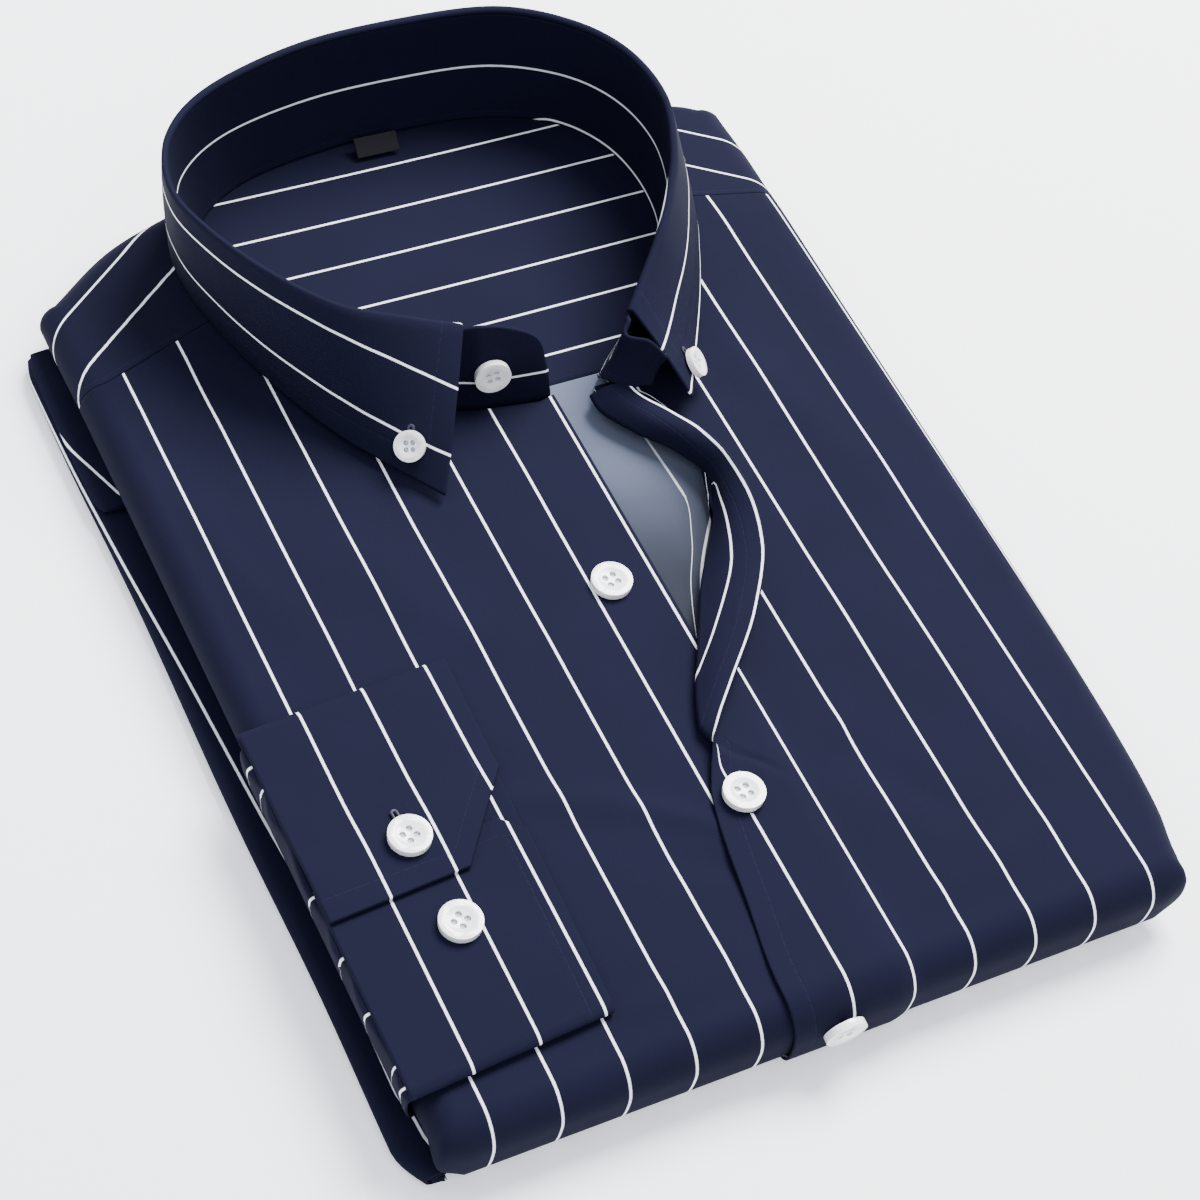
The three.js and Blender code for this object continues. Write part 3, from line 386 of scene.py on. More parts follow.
def poplin(name, ground="0d0e21", stitching=(), stripe=1.0, painted_shade_span=()):
    """Yarn-dyed cotton poplin, pressed: matt and close, navy with thin white pinstripes.

    The eye sees clean stripes of a few white threads on a fine weave that hardly shines. Real
    threads are 0.2 mm apart: they are drawn wider apart so that they show at all. stitching gives
    each row of stitches by its distance from the edge, in millimetres, and painted_shade_span the
    stretch of cloth over which it is darkened by painted shade, and how far.
    """
    material, tree, shader = bare_material(name)
    weave = add(tree, "UVMap", {"uv_map": "weave"}).outputs[0]
    axes = add(tree, "SeparateXYZ", {}, {0: weave})
    across, along = axes.outputs[0], axes.outputs[1]

    def calculate(operation, *values):
        inputs = dict(enumerate(values))
        return add(tree, "Math", {"operation": operation}, inputs).outputs[0]

    def step(value, low, high, start=1.0, end=0.0):
        settings = {"interpolation_type": "SMOOTHSTEP"}
        return add(tree, "MapRange", settings, {0: value, 1: low, 2: high, 3: start, 4: end}).outputs[0]

    def cloudy(scale, detail):
        return add(tree, "TexNoise", {}, {"Vector": weave, "Scale": scale, "Detail": detail}).outputs[0]

    def threads(place_on_cloth):
        return calculate("SINE", calculate("MULTIPLY", place_on_cloth, 2 * math.pi / THREAD))

    slub = cloudy(0.9, 2.0)
    from_stripe = calculate("ADD", calculate("PINGPONG", across, PITCH / 2), -0.08)
    white = step(calculate("MULTIPLY_ADD", slub, 0.16, from_stripe), *STRIPE_SIDE)
    yarn = calculate("MULTIPLY", white, step(slub, 0.3, 0.8, stripe * 0.86, stripe))
    crossing = calculate("MULTIPLY", threads(across), threads(along))
    shade = calculate("MULTIPLY_ADD", crossing, 0.05, step(cloudy(0.03, 3.0), 0.25, 0.75, 0.93, 1.07))
    # Painted shade: over the given stretch the colour darkens towards its start, standing in for light that
    # falls off.
    if painted_shade_span:
        shade = calculate("MULTIPLY", shade, step(along, *painted_shade_span, 1.0))
    colour = mixed(tree, yarn, mixed(tree, 1.0, linear(ground), shade, "MULTIPLY"), linear("f4f6fc"))
    height = calculate("MULTIPLY_ADD", crossing, 0.25, calculate("MULTIPLY", white, 0.35))
    if stitching:
        seam = add(tree, "UVMap", {"uv_map": "seam"}).outputs[0]
        from_edge, along_edge = add(tree, "SeparateXYZ", {}, {0: seam}).outputs[:2]
        dash = step(calculate("PINGPONG", along_edge, STITCH), 0.95, 1.15)
        for distance in stitching:
            gap = calculate("ABSOLUTE", calculate("SUBTRACT", from_edge, distance))
            row = calculate("MULTIPLY", step(gap, 0.14, 0.3), dash)
            groove = calculate("MULTIPLY", step(gap, 0.3, 1.0), -0.6)
            height = calculate("ADD", height, calculate("MULTIPLY_ADD", row, 0.9, groove))
            colour = mixed(tree, calculate("MULTIPLY", row, 0.4), colour, linear("17182f"))
    bump = add(tree, "Bump", {}, {"Strength": 0.5, "Distance": 0.00012, "Height": height}).outputs[0]
    surface = {"Base Color": colour, "Normal": bump, "Roughness": 0.85, "Specular IOR Level": 0.08}
    feed(tree, shader, surface)
    return material




def neck_cut(first, last, count):
    """The neckline's edge between two stations, ordered from right to left across the shirt."""
    cut = neckline(np.linspace(first, last, count), NECK_CLEARANCE)
    return cut[np.argsort(cut[:, 0])]


neck_right = neck_cut(1.0, 8.0, 60)
neck_right = neck_right[(neck_right[:, 1] < YOKE_SEAM) & (neck_right[:, 0] < BAND_EDGE - 3)]
top_edge = np.vstack([YOKE_LEFT, neck_right, [(BAND_EDGE, 52.8)]])

across = np.concatenate([evenly(LEFT - SIDE_LENGTH, LEFT, 1.2)[:-2], evenly(LEFT, BAND_EDGE, 1.5)])
split, middle = SPLIT
share = np.concatenate([np.linspace(0, split, 105), evenly(split, 1.0, 0.0058, 0.0022)[2:]])
across, share = np.meshgrid(across, share)
edge = np.interp(across, top_edge[:, 0], top_edge[:, 1])
low = FRONT - FOLD_LENGTH
lower = low + share / split * (middle - low)
along = np.where(share < split, lower, middle + (share - split) / (1 - split) * (edge - middle))
on_top = ramp(LEFT - 2, LEFT + 8, across) * ramp(FRONT - 2, FRONT + 10, along)
soft = creased(across, along, RIGHT_CREASES) * on_top * (1 - 0.8 * ramp(-8, 14, across))
face = lifted(chest, across, along, soft - 0.95 * tucked(along))
face[..., 2] = np.maximum(face[..., 2], LOWEST)
weave = np.stack([np.maximum(across - RIGHT_STRIPE, -SIDE_PLAIN), along], -1)
right_front = shell("right_front", face, PLY, weave, sewn="right")
right_front.data.materials.append(poplin("poplin_right_front"))
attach(right_front, "root")
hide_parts("front_right")


# ---- Left front -------------------------------------------------------------------------------
# The wearer's left front panel with its placket, a band folded double and topstitched along its
# free edge. It is buttoned at the second button and turned back on itself above it.

OVERLAP_LIFT = 1.45  # the lapped band lies this far above the chest
LEFT_STRIPE = 3.76  # where one of the left front's stripes runs
YOKE_RIGHT = [(83.5, 112), (113.4, 104), (200, 102)]
# Up the placket: where the cloth turns back, where its free edge lies, how high that edge stands.
ROLL = [
    (-180, -11), (-155, -12.5), (-140, -13), (-112, -9), (-83, -3.4), (-78, -2.2), (-72, -0.8), (-64, 1.8),
    (-56, 4.8), (-38, 14.6), (-19, 25.8), (-4, 37.6), (8, 43.4), (18, 39), (27, 30.5), (37, 24.5), (56, 26),
]
FREE_EDGE = [
    (-180, -11), (-155, -12.5), (-140, -13), (-112, -9), (-83, -3.4), (-78, -1.2), (-72, 2), (-64, 7.8),
    (-56, 15), (-38, 31.4), (-19, 43.2), (-4, 46.8), (8, 47.4), (18, 46), (27, 42), (37, 36), (56, 33),
]
RISE = [(-83, 0), (-78, 2.4), (-72, 3.6), (-64, 5), (-56, 6.2), (-38, 8.4), (-19, 10.5), (-4, 12), (8, 11)]
RISE += [(18, 8.4), (27, 6), (37, 5), (56, 5)]
OPEN = [(-84, 0), (-78, 0.3), (-72, 0.7), (-64, 1)]
TURN_WIDTH = 22  # of the stretch that can turn back
TURN_RADIUS = 0.9  # of the cloth where it turns
TURN_STEP = 0.62  # share of that stretch before the turn
NECK_SHARE = 0.72  # share of the rows below the neck
EDGE_STITCHES = 5.5  # from the placket's edge
EDGE_PLAIN = 16.9  # the closed placket's edge has no stripe of its own
FLAP_STRIPE = 7.2  # from the edge where it is turned back
INSIDE_STRIPE = 0.7  # from the edge, on the inside
# Up the placket: how far from the edge the inside's second stripe runs.
SECOND_STRIPE = [(-64, 15), (-45, 13), (-30, 11), (-15, 9.3), (4, 8.6), (12, 30), (56, 30)]
LEFT_CREASES = [
    ((58, -30), (86, -104), 10, 0.8),
    ((30, -80), (62, -112), 6, -0.5),
    ((10, -96), (44, -66), 4, 0.7),
    ((72, 60), (98, -14), 9, 0.7),
    ((30, -126), (92, -118), 6, 0.6),
    ((60, 30), (68, 84), 6, -0.6),
    ((92, 96), (100, 30), 6, -0.5),
]

neck_left = neck_cut(17.0, 22.0, 40)
top_edge = np.vstack([neck_left[neck_left[:, 1] < YOKE_SEAM], YOKE_RIGHT])


def overlap(across, along):
    """How far the left front lies above the chest where it covers the right one's band."""
    return OVERLAP_LIFT * (1 - ramp(BAND_EDGE + 1, BAND_EDGE + 9, across)) * (1 - 0.8 * tucked(along))


def turned_back(along):
    """From 0 where the front lies closed to 1 where it is turned back."""
    return np.clip(through(OPEN, along), 0, 1)


def at_neck(share):
    """From 0 in the rows below the neck to 1 in the last one, which follows the cut edge."""
    return np.clip((share - NECK_SHARE) / (1 - NECK_SHARE), 0, 1)


def placket(along, step, share):
    """The front's first stretch, step 0 at its free edge and 1 where the chest is flat again."""
    roll, free = through(ROLL, along), through(FREE_EDGE, along)
    height = through(CHEST_HEIGHT, along)
    centre_x, centre_z = roll + TURN_RADIUS + 1.1, height + overlap(roll, along) + TURN_RADIUS
    tip_x, tip_z = free, height + through(RISE, along)
    lean = np.arctan2(tip_z - centre_z, tip_x - centre_x)
    leave = lean + math.pi / 2
    start_x = centre_x + TURN_RADIUS * np.cos(leave)
    start_z = centre_z + TURN_RADIUS * np.sin(leave)
    t = np.clip(step / TURN_STEP, 0, 1)
    bow = 1.5 * np.sin(math.pi * t) * ramp(-70, -40, along)
    x = tip_x + (start_x - tip_x) * t - bow * np.sin(lean)
    z = tip_z + (start_z - tip_z) * t + bow * np.cos(lean)
    angle = leave + (1.5 * math.pi - leave) * np.clip((step - TURN_STEP) / (1 - TURN_STEP), 0, 1)
    around = step > TURN_STEP
    x = np.where(around, centre_x + TURN_RADIUS * np.cos(angle), x)
    z = np.where(around, centre_z + TURN_RADIUS * np.sin(angle), z)
    bent = np.stack([x, along + (6 + 3 * step) * at_neck(share), z], -1)
    flat_x = free + TURN_WIDTH * step
    flat = lifted(chest, flat_x, along, overlap(flat_x, along))
    opened = turned_back(along)[..., None]
    return flat * (1 - opened) + bent * opened


def rest_of_left(along, step, share):
    """From the placket to the chest's side and under: step 0 to 1 across it, 1 to 2 round the side."""
    roll, free, opened = through(ROLL, along), through(FREE_EDGE, along), turned_back(along)
    begin = (free + TURN_WIDTH) * (1 - opened) + (roll + TURN_RADIUS + 2.1) * opened
    right = through(RIGHT_SIDE, along)
    across = np.where(step <= 1, begin + (right - begin) * step, right + (step - 1) * SIDE_LENGTH)
    top = np.interp(across, top_edge[:, 0], top_edge[:, 1])
    place_y = along + (np.maximum(top, along) - along) * at_neck(share)
    shown = ramp(BAND_EDGE + 10, BAND_EDGE + 22, across) * (1 - ramp(right - 12, right + 2, across))
    soft = creased(across, place_y, LEFT_CREASES) * shown * ramp(FRONT - 2, FRONT + 10, place_y)
    return lifted(chest, across, place_y, overlap(across, place_y) + soft), across, place_y


flap_steps = np.concatenate([[0, 0.016], np.linspace(0.06, 0.62, 11), np.linspace(0.66, 1, 10)])
flat_steps = np.concatenate([np.linspace(0.012, 0.25, 14), np.linspace(0.27, 1, 34)])
side_steps = np.concatenate([1 + np.linspace(0.07, 0.97, 14), [1.985, 2]])
below = [evenly(FRONT - FOLD_LENGTH, FRONT, 1.5)[:-2], evenly(FRONT, -92, 3)[:-2]]
places = np.concatenate([*below, np.linspace(-92, 40, 84)[:-1], [39.65, 40]])
shares = np.interp(places, [FRONT - FOLD_LENGTH, -85, 40], [0, 0.355, 1])
along, step = np.meshgrid(places, flap_steps, indexing="ij")
flap = placket(along, step, shares[:, None])
rest_along, rest_step = np.meshgrid(places, np.concatenate([flat_steps, side_steps]), indexing="ij")
rest, rest_across, rest_y = rest_of_left(rest_along, rest_step, shares[:, None])
face = np.concatenate([flap, rest], axis=1)
opened, from_edge = turned_back(along), travelled(flap, 1)
flat_u = np.maximum(through(FREE_EDGE, along) + TURN_WIDTH * step - LEFT_STRIPE, -EDGE_PLAIN)
flap_u = (from_edge - FLAP_STRIPE) * opened**2 + flat_u * (1 - opened**2)
flap_weave = np.stack([flap_u, along], -1)
weave = np.concatenate([flap_weave, np.stack([rest_across - LEFT_STRIPE, rest_y], -1)], axis=1)
# The placket's inside is its own folded edge, so its stripes are counted from that edge.
first = from_edge - INSIDE_STRIPE
second = PITCH + np.clip(from_edge - through(SECOND_STRIPE, along), -CLEAR, CLEAR)
inside_u = np.where(from_edge < 6.6, first, second)
wrong = weave.copy()
wrong[:, : flap.shape[1], 0] = inside_u
left_front = shell("left_front", face, PLY, weave, wrong, sewn="left")
left_front.data.materials.append(poplin("poplin_left_front", stitching=(EDGE_STITCHES,)))
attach(left_front, "root")
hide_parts("front_left")
below = ["right_front", "folded_layers"]


# ---- Yoke -------------------------------------------------------------------------------------
# The doubled shoulder piece: its outer layer is cut in two halves whose pinstripes meet down the
# middle of the back, and it runs over the shoulders and under. The inner layer closes the neck.

RIGHT = 109.6  # the flat shoulders end here
# Across: where the shoulder line runs, and how far the back edge stands out past it.
SHOULDERS = [
    (LEFT, 127), (-76, 143), (-58, 151), (-30, 160.5), (0, 168.6), (20, 170.2), (45, 168), (70, 159.6),
    (85, 153.5), (104, 146.5), (RIGHT, 143.5),
]
SHOULDER_REACH = [
    (LEFT, 5), (-76, 6), (-58, 5), (-30, 3), (0, 2.2), (20, 2.2), (45, 2.2), (70, 3), (85, 5), (104, 6),
    (RIGHT, 5),
]
BACK_SWEEP = 2.8
BACK_DEPTH = 6.0
BACK_LENGTH = BACK_DEPTH * BACK_SWEEP
CHEVRON = math.radians(39)  # the stripes' slope on each half
YOKE_MIDDLE = 20  # the seam down the middle of the back
YOKE_PITCH = 15.1
YOKE_STITCHES = 1.6  # from each yoke's edge


def shoulder(across, along):
    """The yoke's right side, over the side folds and over the shoulder line to the back."""
    right = through(RIGHT_SIDE, along)
    x = np.clip(across, LEFT, right)
    line = through(SHOULDERS, x)
    y = np.minimum(along, line)
    side = np.abs(across - x) / SIDE_LENGTH
    over = (along - y) / BACK_LENGTH
    w = np.minimum((side**9 + over**9) ** (1 / 9), 1)
    turn = np.arctan2(over, side)
    blend = turn / (math.pi / 2)
    height = through(CHEST_HEIGHT, y)
    depth = (height - TOP + SIDE_DROP) / SIDE_DROP
    out_side = SIDE["radius"] * np.sin(SIDE["sweep"] * w)
    drop_side = SIDE["radius"] * (1 - np.cos(SIDE["sweep"] * w)) * depth
    out_back = through(SHOULDER_REACH, x) * np.sin(BACK_SWEEP * w)
    drop_back = BACK_DEPTH * (1 - np.cos(BACK_SWEEP * w))
    out = out_side * (1 - blend) + out_back * blend
    drop = drop_side * (1 - blend) + drop_back * blend
    slope = (through(SHOULDERS, x + 1) - through(SHOULDERS, x - 1)) / 2
    long = np.sqrt(1 + slope**2)
    way_x = -slope / long * np.sin(turn) + np.sign(across - x) * np.cos(turn)
    way_y = 1 / long * np.sin(turn)
    size = np.maximum(np.sqrt(way_x**2 + way_y**2), 1e-9)
    return np.stack([x + way_x / size * out, y + way_y / size * out, height - drop], -1)


def inner_height(along):
    """Height of the back's inside, seen through the neck."""
    return 17.5 - 0.025 * (along - 57)


neck_back = neck_cut(7.6, 16.4, 90)
rising = neck_back[(neck_back[:, 1] > YOKE_SEAM + 1)]
rising = rising[(rising[:, 0] > -61.2) & (rising[:, 0] < 82.4)]
low_edge = np.vstack([np.array(YOKE_LEFT) + [0, 0.4], rising, np.array(YOKE_RIGHT) + [0, 0.4]])
right = float(through(RIGHT_SIDE, 120))
left_side, right_side = evenly(LEFT - SIDE_LENGTH, LEFT, 1.3), evenly(right, right + SIDE_LENGTH, 1.3)
across = np.concatenate([left_side[:-2], evenly(LEFT, right, 1.9)[:-2], np.delete(right_side, 1)])
steps = np.concatenate([[0, 0.012], np.linspace(0.06, 1, 16), 1 + np.linspace(0.07, 0.96, 14), [1.98, 2]])
across, step = np.meshgrid(across, steps, indexing="ij")
start = np.interp(across, low_edge[:, 0], low_edge[:, 1])
line = through(SHOULDERS, np.clip(across, LEFT, RIGHT))
end = np.maximum(line, start + 0.6)
along = np.where(step <= 1, start + (end - start) * step, end + (line + BACK_LENGTH - end) * (step - 1))
soft = 0.35 * np.sin(across / 17 + 0.6) * np.sin(np.clip(step, 0, 1) * math.pi) ** 2
face = lifted(shoulder, across, along, soft)[:, ::-1].transpose(1, 0, 2)[::-1]
flat_x, flat_y = (value[:, ::-1].T[::-1] for value in (across, along))
from_middle = np.abs(flat_x - YOKE_MIDDLE)
start_of_stripe = 156.6 - 13.5 * ramp(-60, 60, flat_x)
counted = flat_y * math.cos(CHEVRON) + from_middle * math.sin(CHEVRON) - start_of_stripe
counted = counted * PITCH / YOKE_PITCH
counted = np.where((counted < 0) & (flat_x < YOKE_MIDDLE), 0.66 * counted, counted)
weave = np.stack([counted, from_middle * math.cos(CHEVRON) - flat_y * math.sin(CHEVRON)], -1)
yoke = shell("yoke", face, PLY, weave, sewn="start")
yoke.data.materials.append(poplin("poplin_yoke", stitching=(YOKE_STITCHES,)))
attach(yoke, "root")
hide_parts("yoke_outer")

INNER_EDGE = 59.6  # where the inner yoke is sewn to the back
INNER_STRIPE, INNER_PITCH = 70.2, 16.92


def between_sides(rows_y, low_x, high_x, steps):
    """Places on rows that run from one side to the other, and the sides as columns."""
    low_x, high_x = low_x[:, None], high_x[:, None]
    across = low_x + (high_x - low_x) * steps[None, :]
    return across, np.broadcast_to(rows_y[:, None], across.shape), low_x, high_x


inside_ring = neckline(np.linspace(3.15, 21.05, 700), 1.4)
peak = int(np.argmax(inside_ring[:, 1]))
left_branch, right_branch = inside_ring[: peak + 1], inside_ring[peak:][::-1]
turn = np.linspace(0, 1, 74)
rows_y = INNER_EDGE + (inside_ring[peak, 1] - 1.2 - INNER_EDGE) * np.sin(turn * math.pi / 2)
low_x = np.interp(rows_y, left_branch[:, 1], left_branch[:, 0])
high_x = np.interp(rows_y, right_branch[:, 1], right_branch[:, 0])
across, along, low_x, high_x = between_sides(rows_y, low_x, high_x, evenly(0, 1, 0.02, 0.004))
hollow = 0.5 * np.sin((across - low_x) / (high_x - low_x) * math.pi) * ramp(60, 90, along)
face = np.stack([across, along, inner_height(along) - hollow], -1)
weave = np.stack([(along - INNER_STRIPE) * PITCH / INNER_PITCH, across], -1)
inner_yoke = shell("inner_yoke", face, PLY, weave, sewn="start")
inner_yoke.data.materials.append(poplin("poplin_inner_yoke", stitching=(YOKE_STITCHES,)))
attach(inner_yoke, "root")
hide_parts("yoke_inner")


# ---- Back -------------------------------------------------------------------------------------
# The back panel seen from its inside through the open front. Its wrong side is paler than the
# right, and the pinstripes only show through it. It curves up under both fronts. Its colour is
# darkened towards the opening's point: painted shade.

BACK_LEFT = [(-47, 12), (-30, 7), (46, -4), (59.2, -4)]
BACK_RIGHT = [(-47, 20), (-22, 45), (5, 57), (30, 57), (59.2, 48)]
BACK_STRIPE_1 = [(-47, 12.5), (-18, 24), (-4, 31.5), (11.3, 36.6), (32.4, 36), (60, 35)]
BACK_STRIPE_2 = [(-47, 15.5), (-18.3, 27), (-1.6, 38), (12, 49), (60, 80)]

BACK_CREASES = [((8, 40), (30, -30), 5, 0.5), ((30, 50), (48, 0), 6, -0.4)]
BACK_CLEAR = 8.5  # the wrong side's faint stripes keep this far into the plain cloth

rows_y = evenly(-47, 59.2, 1.6)
low_x, high_x = through(BACK_LEFT, rows_y), through(BACK_RIGHT, rows_y)
across, along, low_x, high_x = between_sides(rows_y, low_x, high_x, evenly(0, 1, 0.03, 0.006))
to_side = np.minimum(across - low_x, high_x - across)
up = (20.5 - inner_height(along)) * (1 - ramp(0, 6, to_side)) * (1 - ramp(46, 58, along))
ridge = creased(across, along, BACK_CREASES)
face = np.stack([across, along, inner_height(along) + up + ridge * ramp(2, 10, to_side)], -1)
stripe_1, stripe_2 = through(BACK_STRIPE_1, along), through(BACK_STRIPE_2, along)
first = np.clip((across - stripe_1) * (0.95 + 2 * ramp(12, 6, along)), -BACK_CLEAR, BACK_CLEAR)
second = PITCH + np.clip((across - stripe_2) * 0.8, -BACK_CLEAR, BACK_CLEAR)
nearest = np.where(across < (stripe_1 + stripe_2) / 2, first, second)
weave = np.stack([nearest, along], -1)
back_piece = shell("back", face, PLY, weave)
# Painted shade: the wrong side's colour darkens towards the point of the opening, for the light falling off
# deep inside it.
wrong_side = poplin("poplin_wrong_side", ground="555b6c", stripe=0.5, painted_shade_span=(-18, 52, 0.2))
back_piece.data.materials.append(wrong_side)
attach(back_piece, "root")
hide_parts("back_panel")


# ---- Folded layers ----------------------------------------------------------------------------
# The rest of the body and the left sleeve, folded flat behind the chest. Only their rounded fold
# edges show, one above the other at the sides, and the lowest one's underside rests on the table.

# Name, lowest and highest point, reach to the wearer's left and right past the chest, the share
# of the shoulders' reach and the shift of the back edge, and how far back the front edge lies.
LAYERS = [
    ("folded_layers", 0.0, 2.75, 5.4, 4.6, 0.55, 0, 9.5),
    ("folded_middle", 2.8, 5.5, 6.8, 4.8, 0, -1.6, 3),
    ("folded_upper", 5.55, 8.3, 4.9, 4.8, 0, -4, 2),
]
SIDE_POINTS = 70
ROUNDING = 9  # times that the corners are smoothed
EDGE_STEPS = 10  # up the half-round edge


def layer_outline(right, left, share, shift, front):
    """A layer's outer edge, with rounded corners, once round."""
    front = FRONT + front
    side_y = np.linspace(front, 142, SIDE_POINTS)
    side_x = through(RIGHT_SIDE, side_y) + right - 0.6 * np.sin(side_y / 31) ** 2
    back_x = np.linspace(112, LEFT + left, SIDE_POINTS)
    clear_x = np.clip(back_x, LEFT, RIGHT)
    back_y = through(SHOULDERS, clear_x) + share * through(SHOULDER_REACH, clear_x) + shift
    left_y = np.linspace(back_y[-1], front, SIDE_POINTS)
    left_x = np.full(SIDE_POINTS, LEFT + left) + 0.4 * np.sin(left_y / 23)
    front_x = np.linspace(left_x[-1], side_x[0], SIDE_POINTS)
    sides = [(side_x, side_y), (back_x, back_y), (left_x, left_y), (front_x, np.full(SIDE_POINTS, front))]
    loop = np.vstack([np.stack(side, -1) for side in sides])
    for _ in range(ROUNDING):
        loop = (np.roll(loop, 1, axis=0) + 2 * loop + np.roll(loop, -1, axis=0)) / 4
    return loop


def padded_layer(name, loop, low, high):
    """One fold of cloth: a flat bag with a half-round edge."""
    ahead = np.roll(loop, -1, axis=0) - np.roll(loop, 1, axis=0)
    out = unit(np.stack([ahead[:, 1], -ahead[:, 0]], -1))
    radius, middle = (high - low) / 2, (high + low) / 2
    rings = []
    for angle in np.linspace(-math.pi / 2, math.pi / 2, EDGE_STEPS + 1):
        flat = loop + out * radius * (math.cos(angle) - 1)
        rings.append(np.column_stack([flat, np.full(len(loop), middle + radius * math.sin(angle))]))
    count = len(loop)
    points = np.concatenate(rings)
    here = np.arange(count)
    there = np.roll(here, -1)
    band = np.stack([here, there, there + count, here + count], -1)
    faces = [here[::-1].tolist(), (here + EDGE_STEPS * count).tolist()]
    for k in range(EDGE_STEPS):
        faces += (band + k * count).tolist()
    pattern = np.column_stack([points[:, 0] + points[:, 2] - LEFT_STRIPE, points[:, 1]])
    return as_mesh(name, points, faces, {"weave": pattern}, flat_faces=2)


folded_poplin = poplin("poplin_folded")
for name, low, high, *outline in LAYERS:
    loop = layer_outline(*outline)
    layer = padded_layer(name, loop, low, high)
    layer.data.materials.append(folded_poplin)
    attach(layer, "root")
    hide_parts("hidden_layers")
    width, length = (float(value) / 1000 for value in np.ptp(loop, axis=0))


# ---- Sleeve -----------------------------------------------------------------------------------
# The right sleeve is folded down the left edge of the stack, doubled again at its shoulder end,
# then climbs the side to the cuff, eased into it with small gathers.

# Across and up: from under the chest out to the sleeve's edge, back below, in and out again.
SLEEVE_PROFILE = [
    (-96.6, 5.3), (-102, 5.4), (-107.5, 5.3), (-110.6, 4.9), (-112.3, 3.6), (-112.5, 2.2), (-111.5, 0.8),
    (-109, 0.15), (-103, 0.05), (-98.5, 0.1), (-97, 0.9), (-97.8, 1.8), (-103, 2.0), (-108.5, 2.1),
    (-110.2, 2.7), (-108.8, 3.3), (-103, 3.5), (-97.5, 3.6),
]
UPPER_PROFILE = [
    (-96.8, 7.7), (-102, 7.8), (-107.5, 7.6), (-110.8, 7.3), (-111.9, 6.8), (-110.8, 6.25), (-107, 6.1),
    (-101, 6.1), (-97.6, 6.1),
]
SLEEVE_CLIMB = [
    (-108.2, 24.6), (-109.2, 24.3), (-109.9, 23.2), (-109.9, 20.5), (-109.3, 16.5), (-108.3, 12.5),
    (-106.9, 9), (-105.4, 6.5),
]
# Along each: how far round its profile the stripe runs.
SLEEVE_STRIPE = [
    (-146, 7.2), (-138, 7.6), (-130, 8), (-121, 9.5), (-106, 9.4), (-66, 8.7), (-35, 10), (0, 12), (50, 15),
    (70, 15.6), (126, 17),
]
UPPER_STRIPE = [(60, 5.5), (68, 7.5), (80, 11.5), (89, 14.5), (101, 16.5), (126, 19)]


def sleeve_fold(name, profile, low, high, cut, front_cut, edge_stripe):
    """A length of sleeve folded along its edge, with its corners cut back at both ends."""
    path = along_curve(profile, evenly(0, len(profile) - 1, 0.22, 0.06))
    rows = evenly(low, high, 2.0)[:, None]
    out, up = path[None, :, 0], path[None, :, 1]
    taper = cut * (1 - np.sin(np.clip((high - rows) / 8, 0, 1) * math.pi / 2)) + front_cut * (
        1 - np.sin(np.clip((rows - low) / (2 + 2 * front_cut), 0, 1) * math.pi / 2)
    )
    x = out + (taper + 0.35 * np.sin(rows / 19)) * ramp(-98, -104, out)
    x = np.minimum(x, -96 - 7 * ramp(-135, -140, rows))
    y = np.broadcast_to(rows, x.shape)
    z = np.maximum(up - 0.12 * np.sin(rows / 11) * ramp(0.5, 2, up), 0)
    face = np.stack([x, y, z], -1)[:, ::-1]
    weave = np.stack([travelled(path)[None, :] - through(edge_stripe, y), y], -1)[:, ::-1]
    cloth = shell(name, face, PLY, weave)
    cloth.data.materials.append(folded_poplin)
    return cloth, face


sleeve, face = sleeve_fold("sleeve", SLEEVE_PROFILE, -144.8, 125, 1.6, 4.5, SLEEVE_STRIPE)
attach(sleeve, "root")
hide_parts("sleeve_fold")
upper, face = sleeve_fold("sleeve_upper", UPPER_PROFILE, 65.5, 124, 1.4, 1.4, UPPER_STRIPE)
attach(upper, "root")
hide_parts("sleeve_fold")

CUFF = {"width": 58, "narrow": 54.5, "corner": (-108.8, -133.4), "skew": 0.07, "ply": 1.0}
CLIMB_LENGTH = 104.5
CLIMB_STRIPES = [-130, -124, -109, -93, -75, -42, -35]  # along the shirt, where they leave the cuff
CLIMB_CLEAR = 8.5  # they keep this far into the plain cloth

path = along_curve(SLEEVE_CLIMB, evenly(0, len(SLEEVE_CLIMB) - 1, 0.14, 0.05))
out, up = path[None, :, 0], path[None, :, 1]
fall = np.linspace(0, 1, len(path))[None, :]
rows = evenly(0, CLIMB_LENGTH, 1.0)[:, None]
k = fall * (len(SLEEVE_CLIMB) - 1)
y = CUFF["corner"][1] + rows + k * k / 12 * (1 - 2 * (rows / CLIMB_LENGTH))
gather = 0.55 * np.sin(rows / 3.1 + np.sin(rows / 7)) * np.exp(-((fall - 0.28) / 0.22) ** 2)
face = np.stack([out - gather, y, np.broadcast_to(up, y.shape)], -1)[:, ::-1]
gaps = y[..., None] - np.array(CLIMB_STRIPES)
nearest = np.argmin(np.abs(gaps), axis=-1)
gap = np.take_along_axis(gaps, nearest[..., None], axis=-1)[..., 0]
gap = gap + np.sign(gap) * 3 * ramp(21.5, 18.5, up)
nearest = PITCH * nearest + np.clip(gap, -CLIMB_CLEAR, CLIMB_CLEAR)
weave = np.stack([nearest, np.broadcast_to(up, y.shape)], -1)[:, ::-1]
sleeve_end = shell("sleeve_climb", face, PLY, weave)
sleeve_end.data.materials.append(folded_poplin)
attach(sleeve_end, "root")
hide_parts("sleeve_end")


# ---- Cuff -------------------------------------------------------------------------------------
# A two-button barrel cuff of two plies and interlining, pressed flat and lapped on itself. Its
# over-lap has a mitred corner, and a row of stitches runs 6 mm inside its free edges.

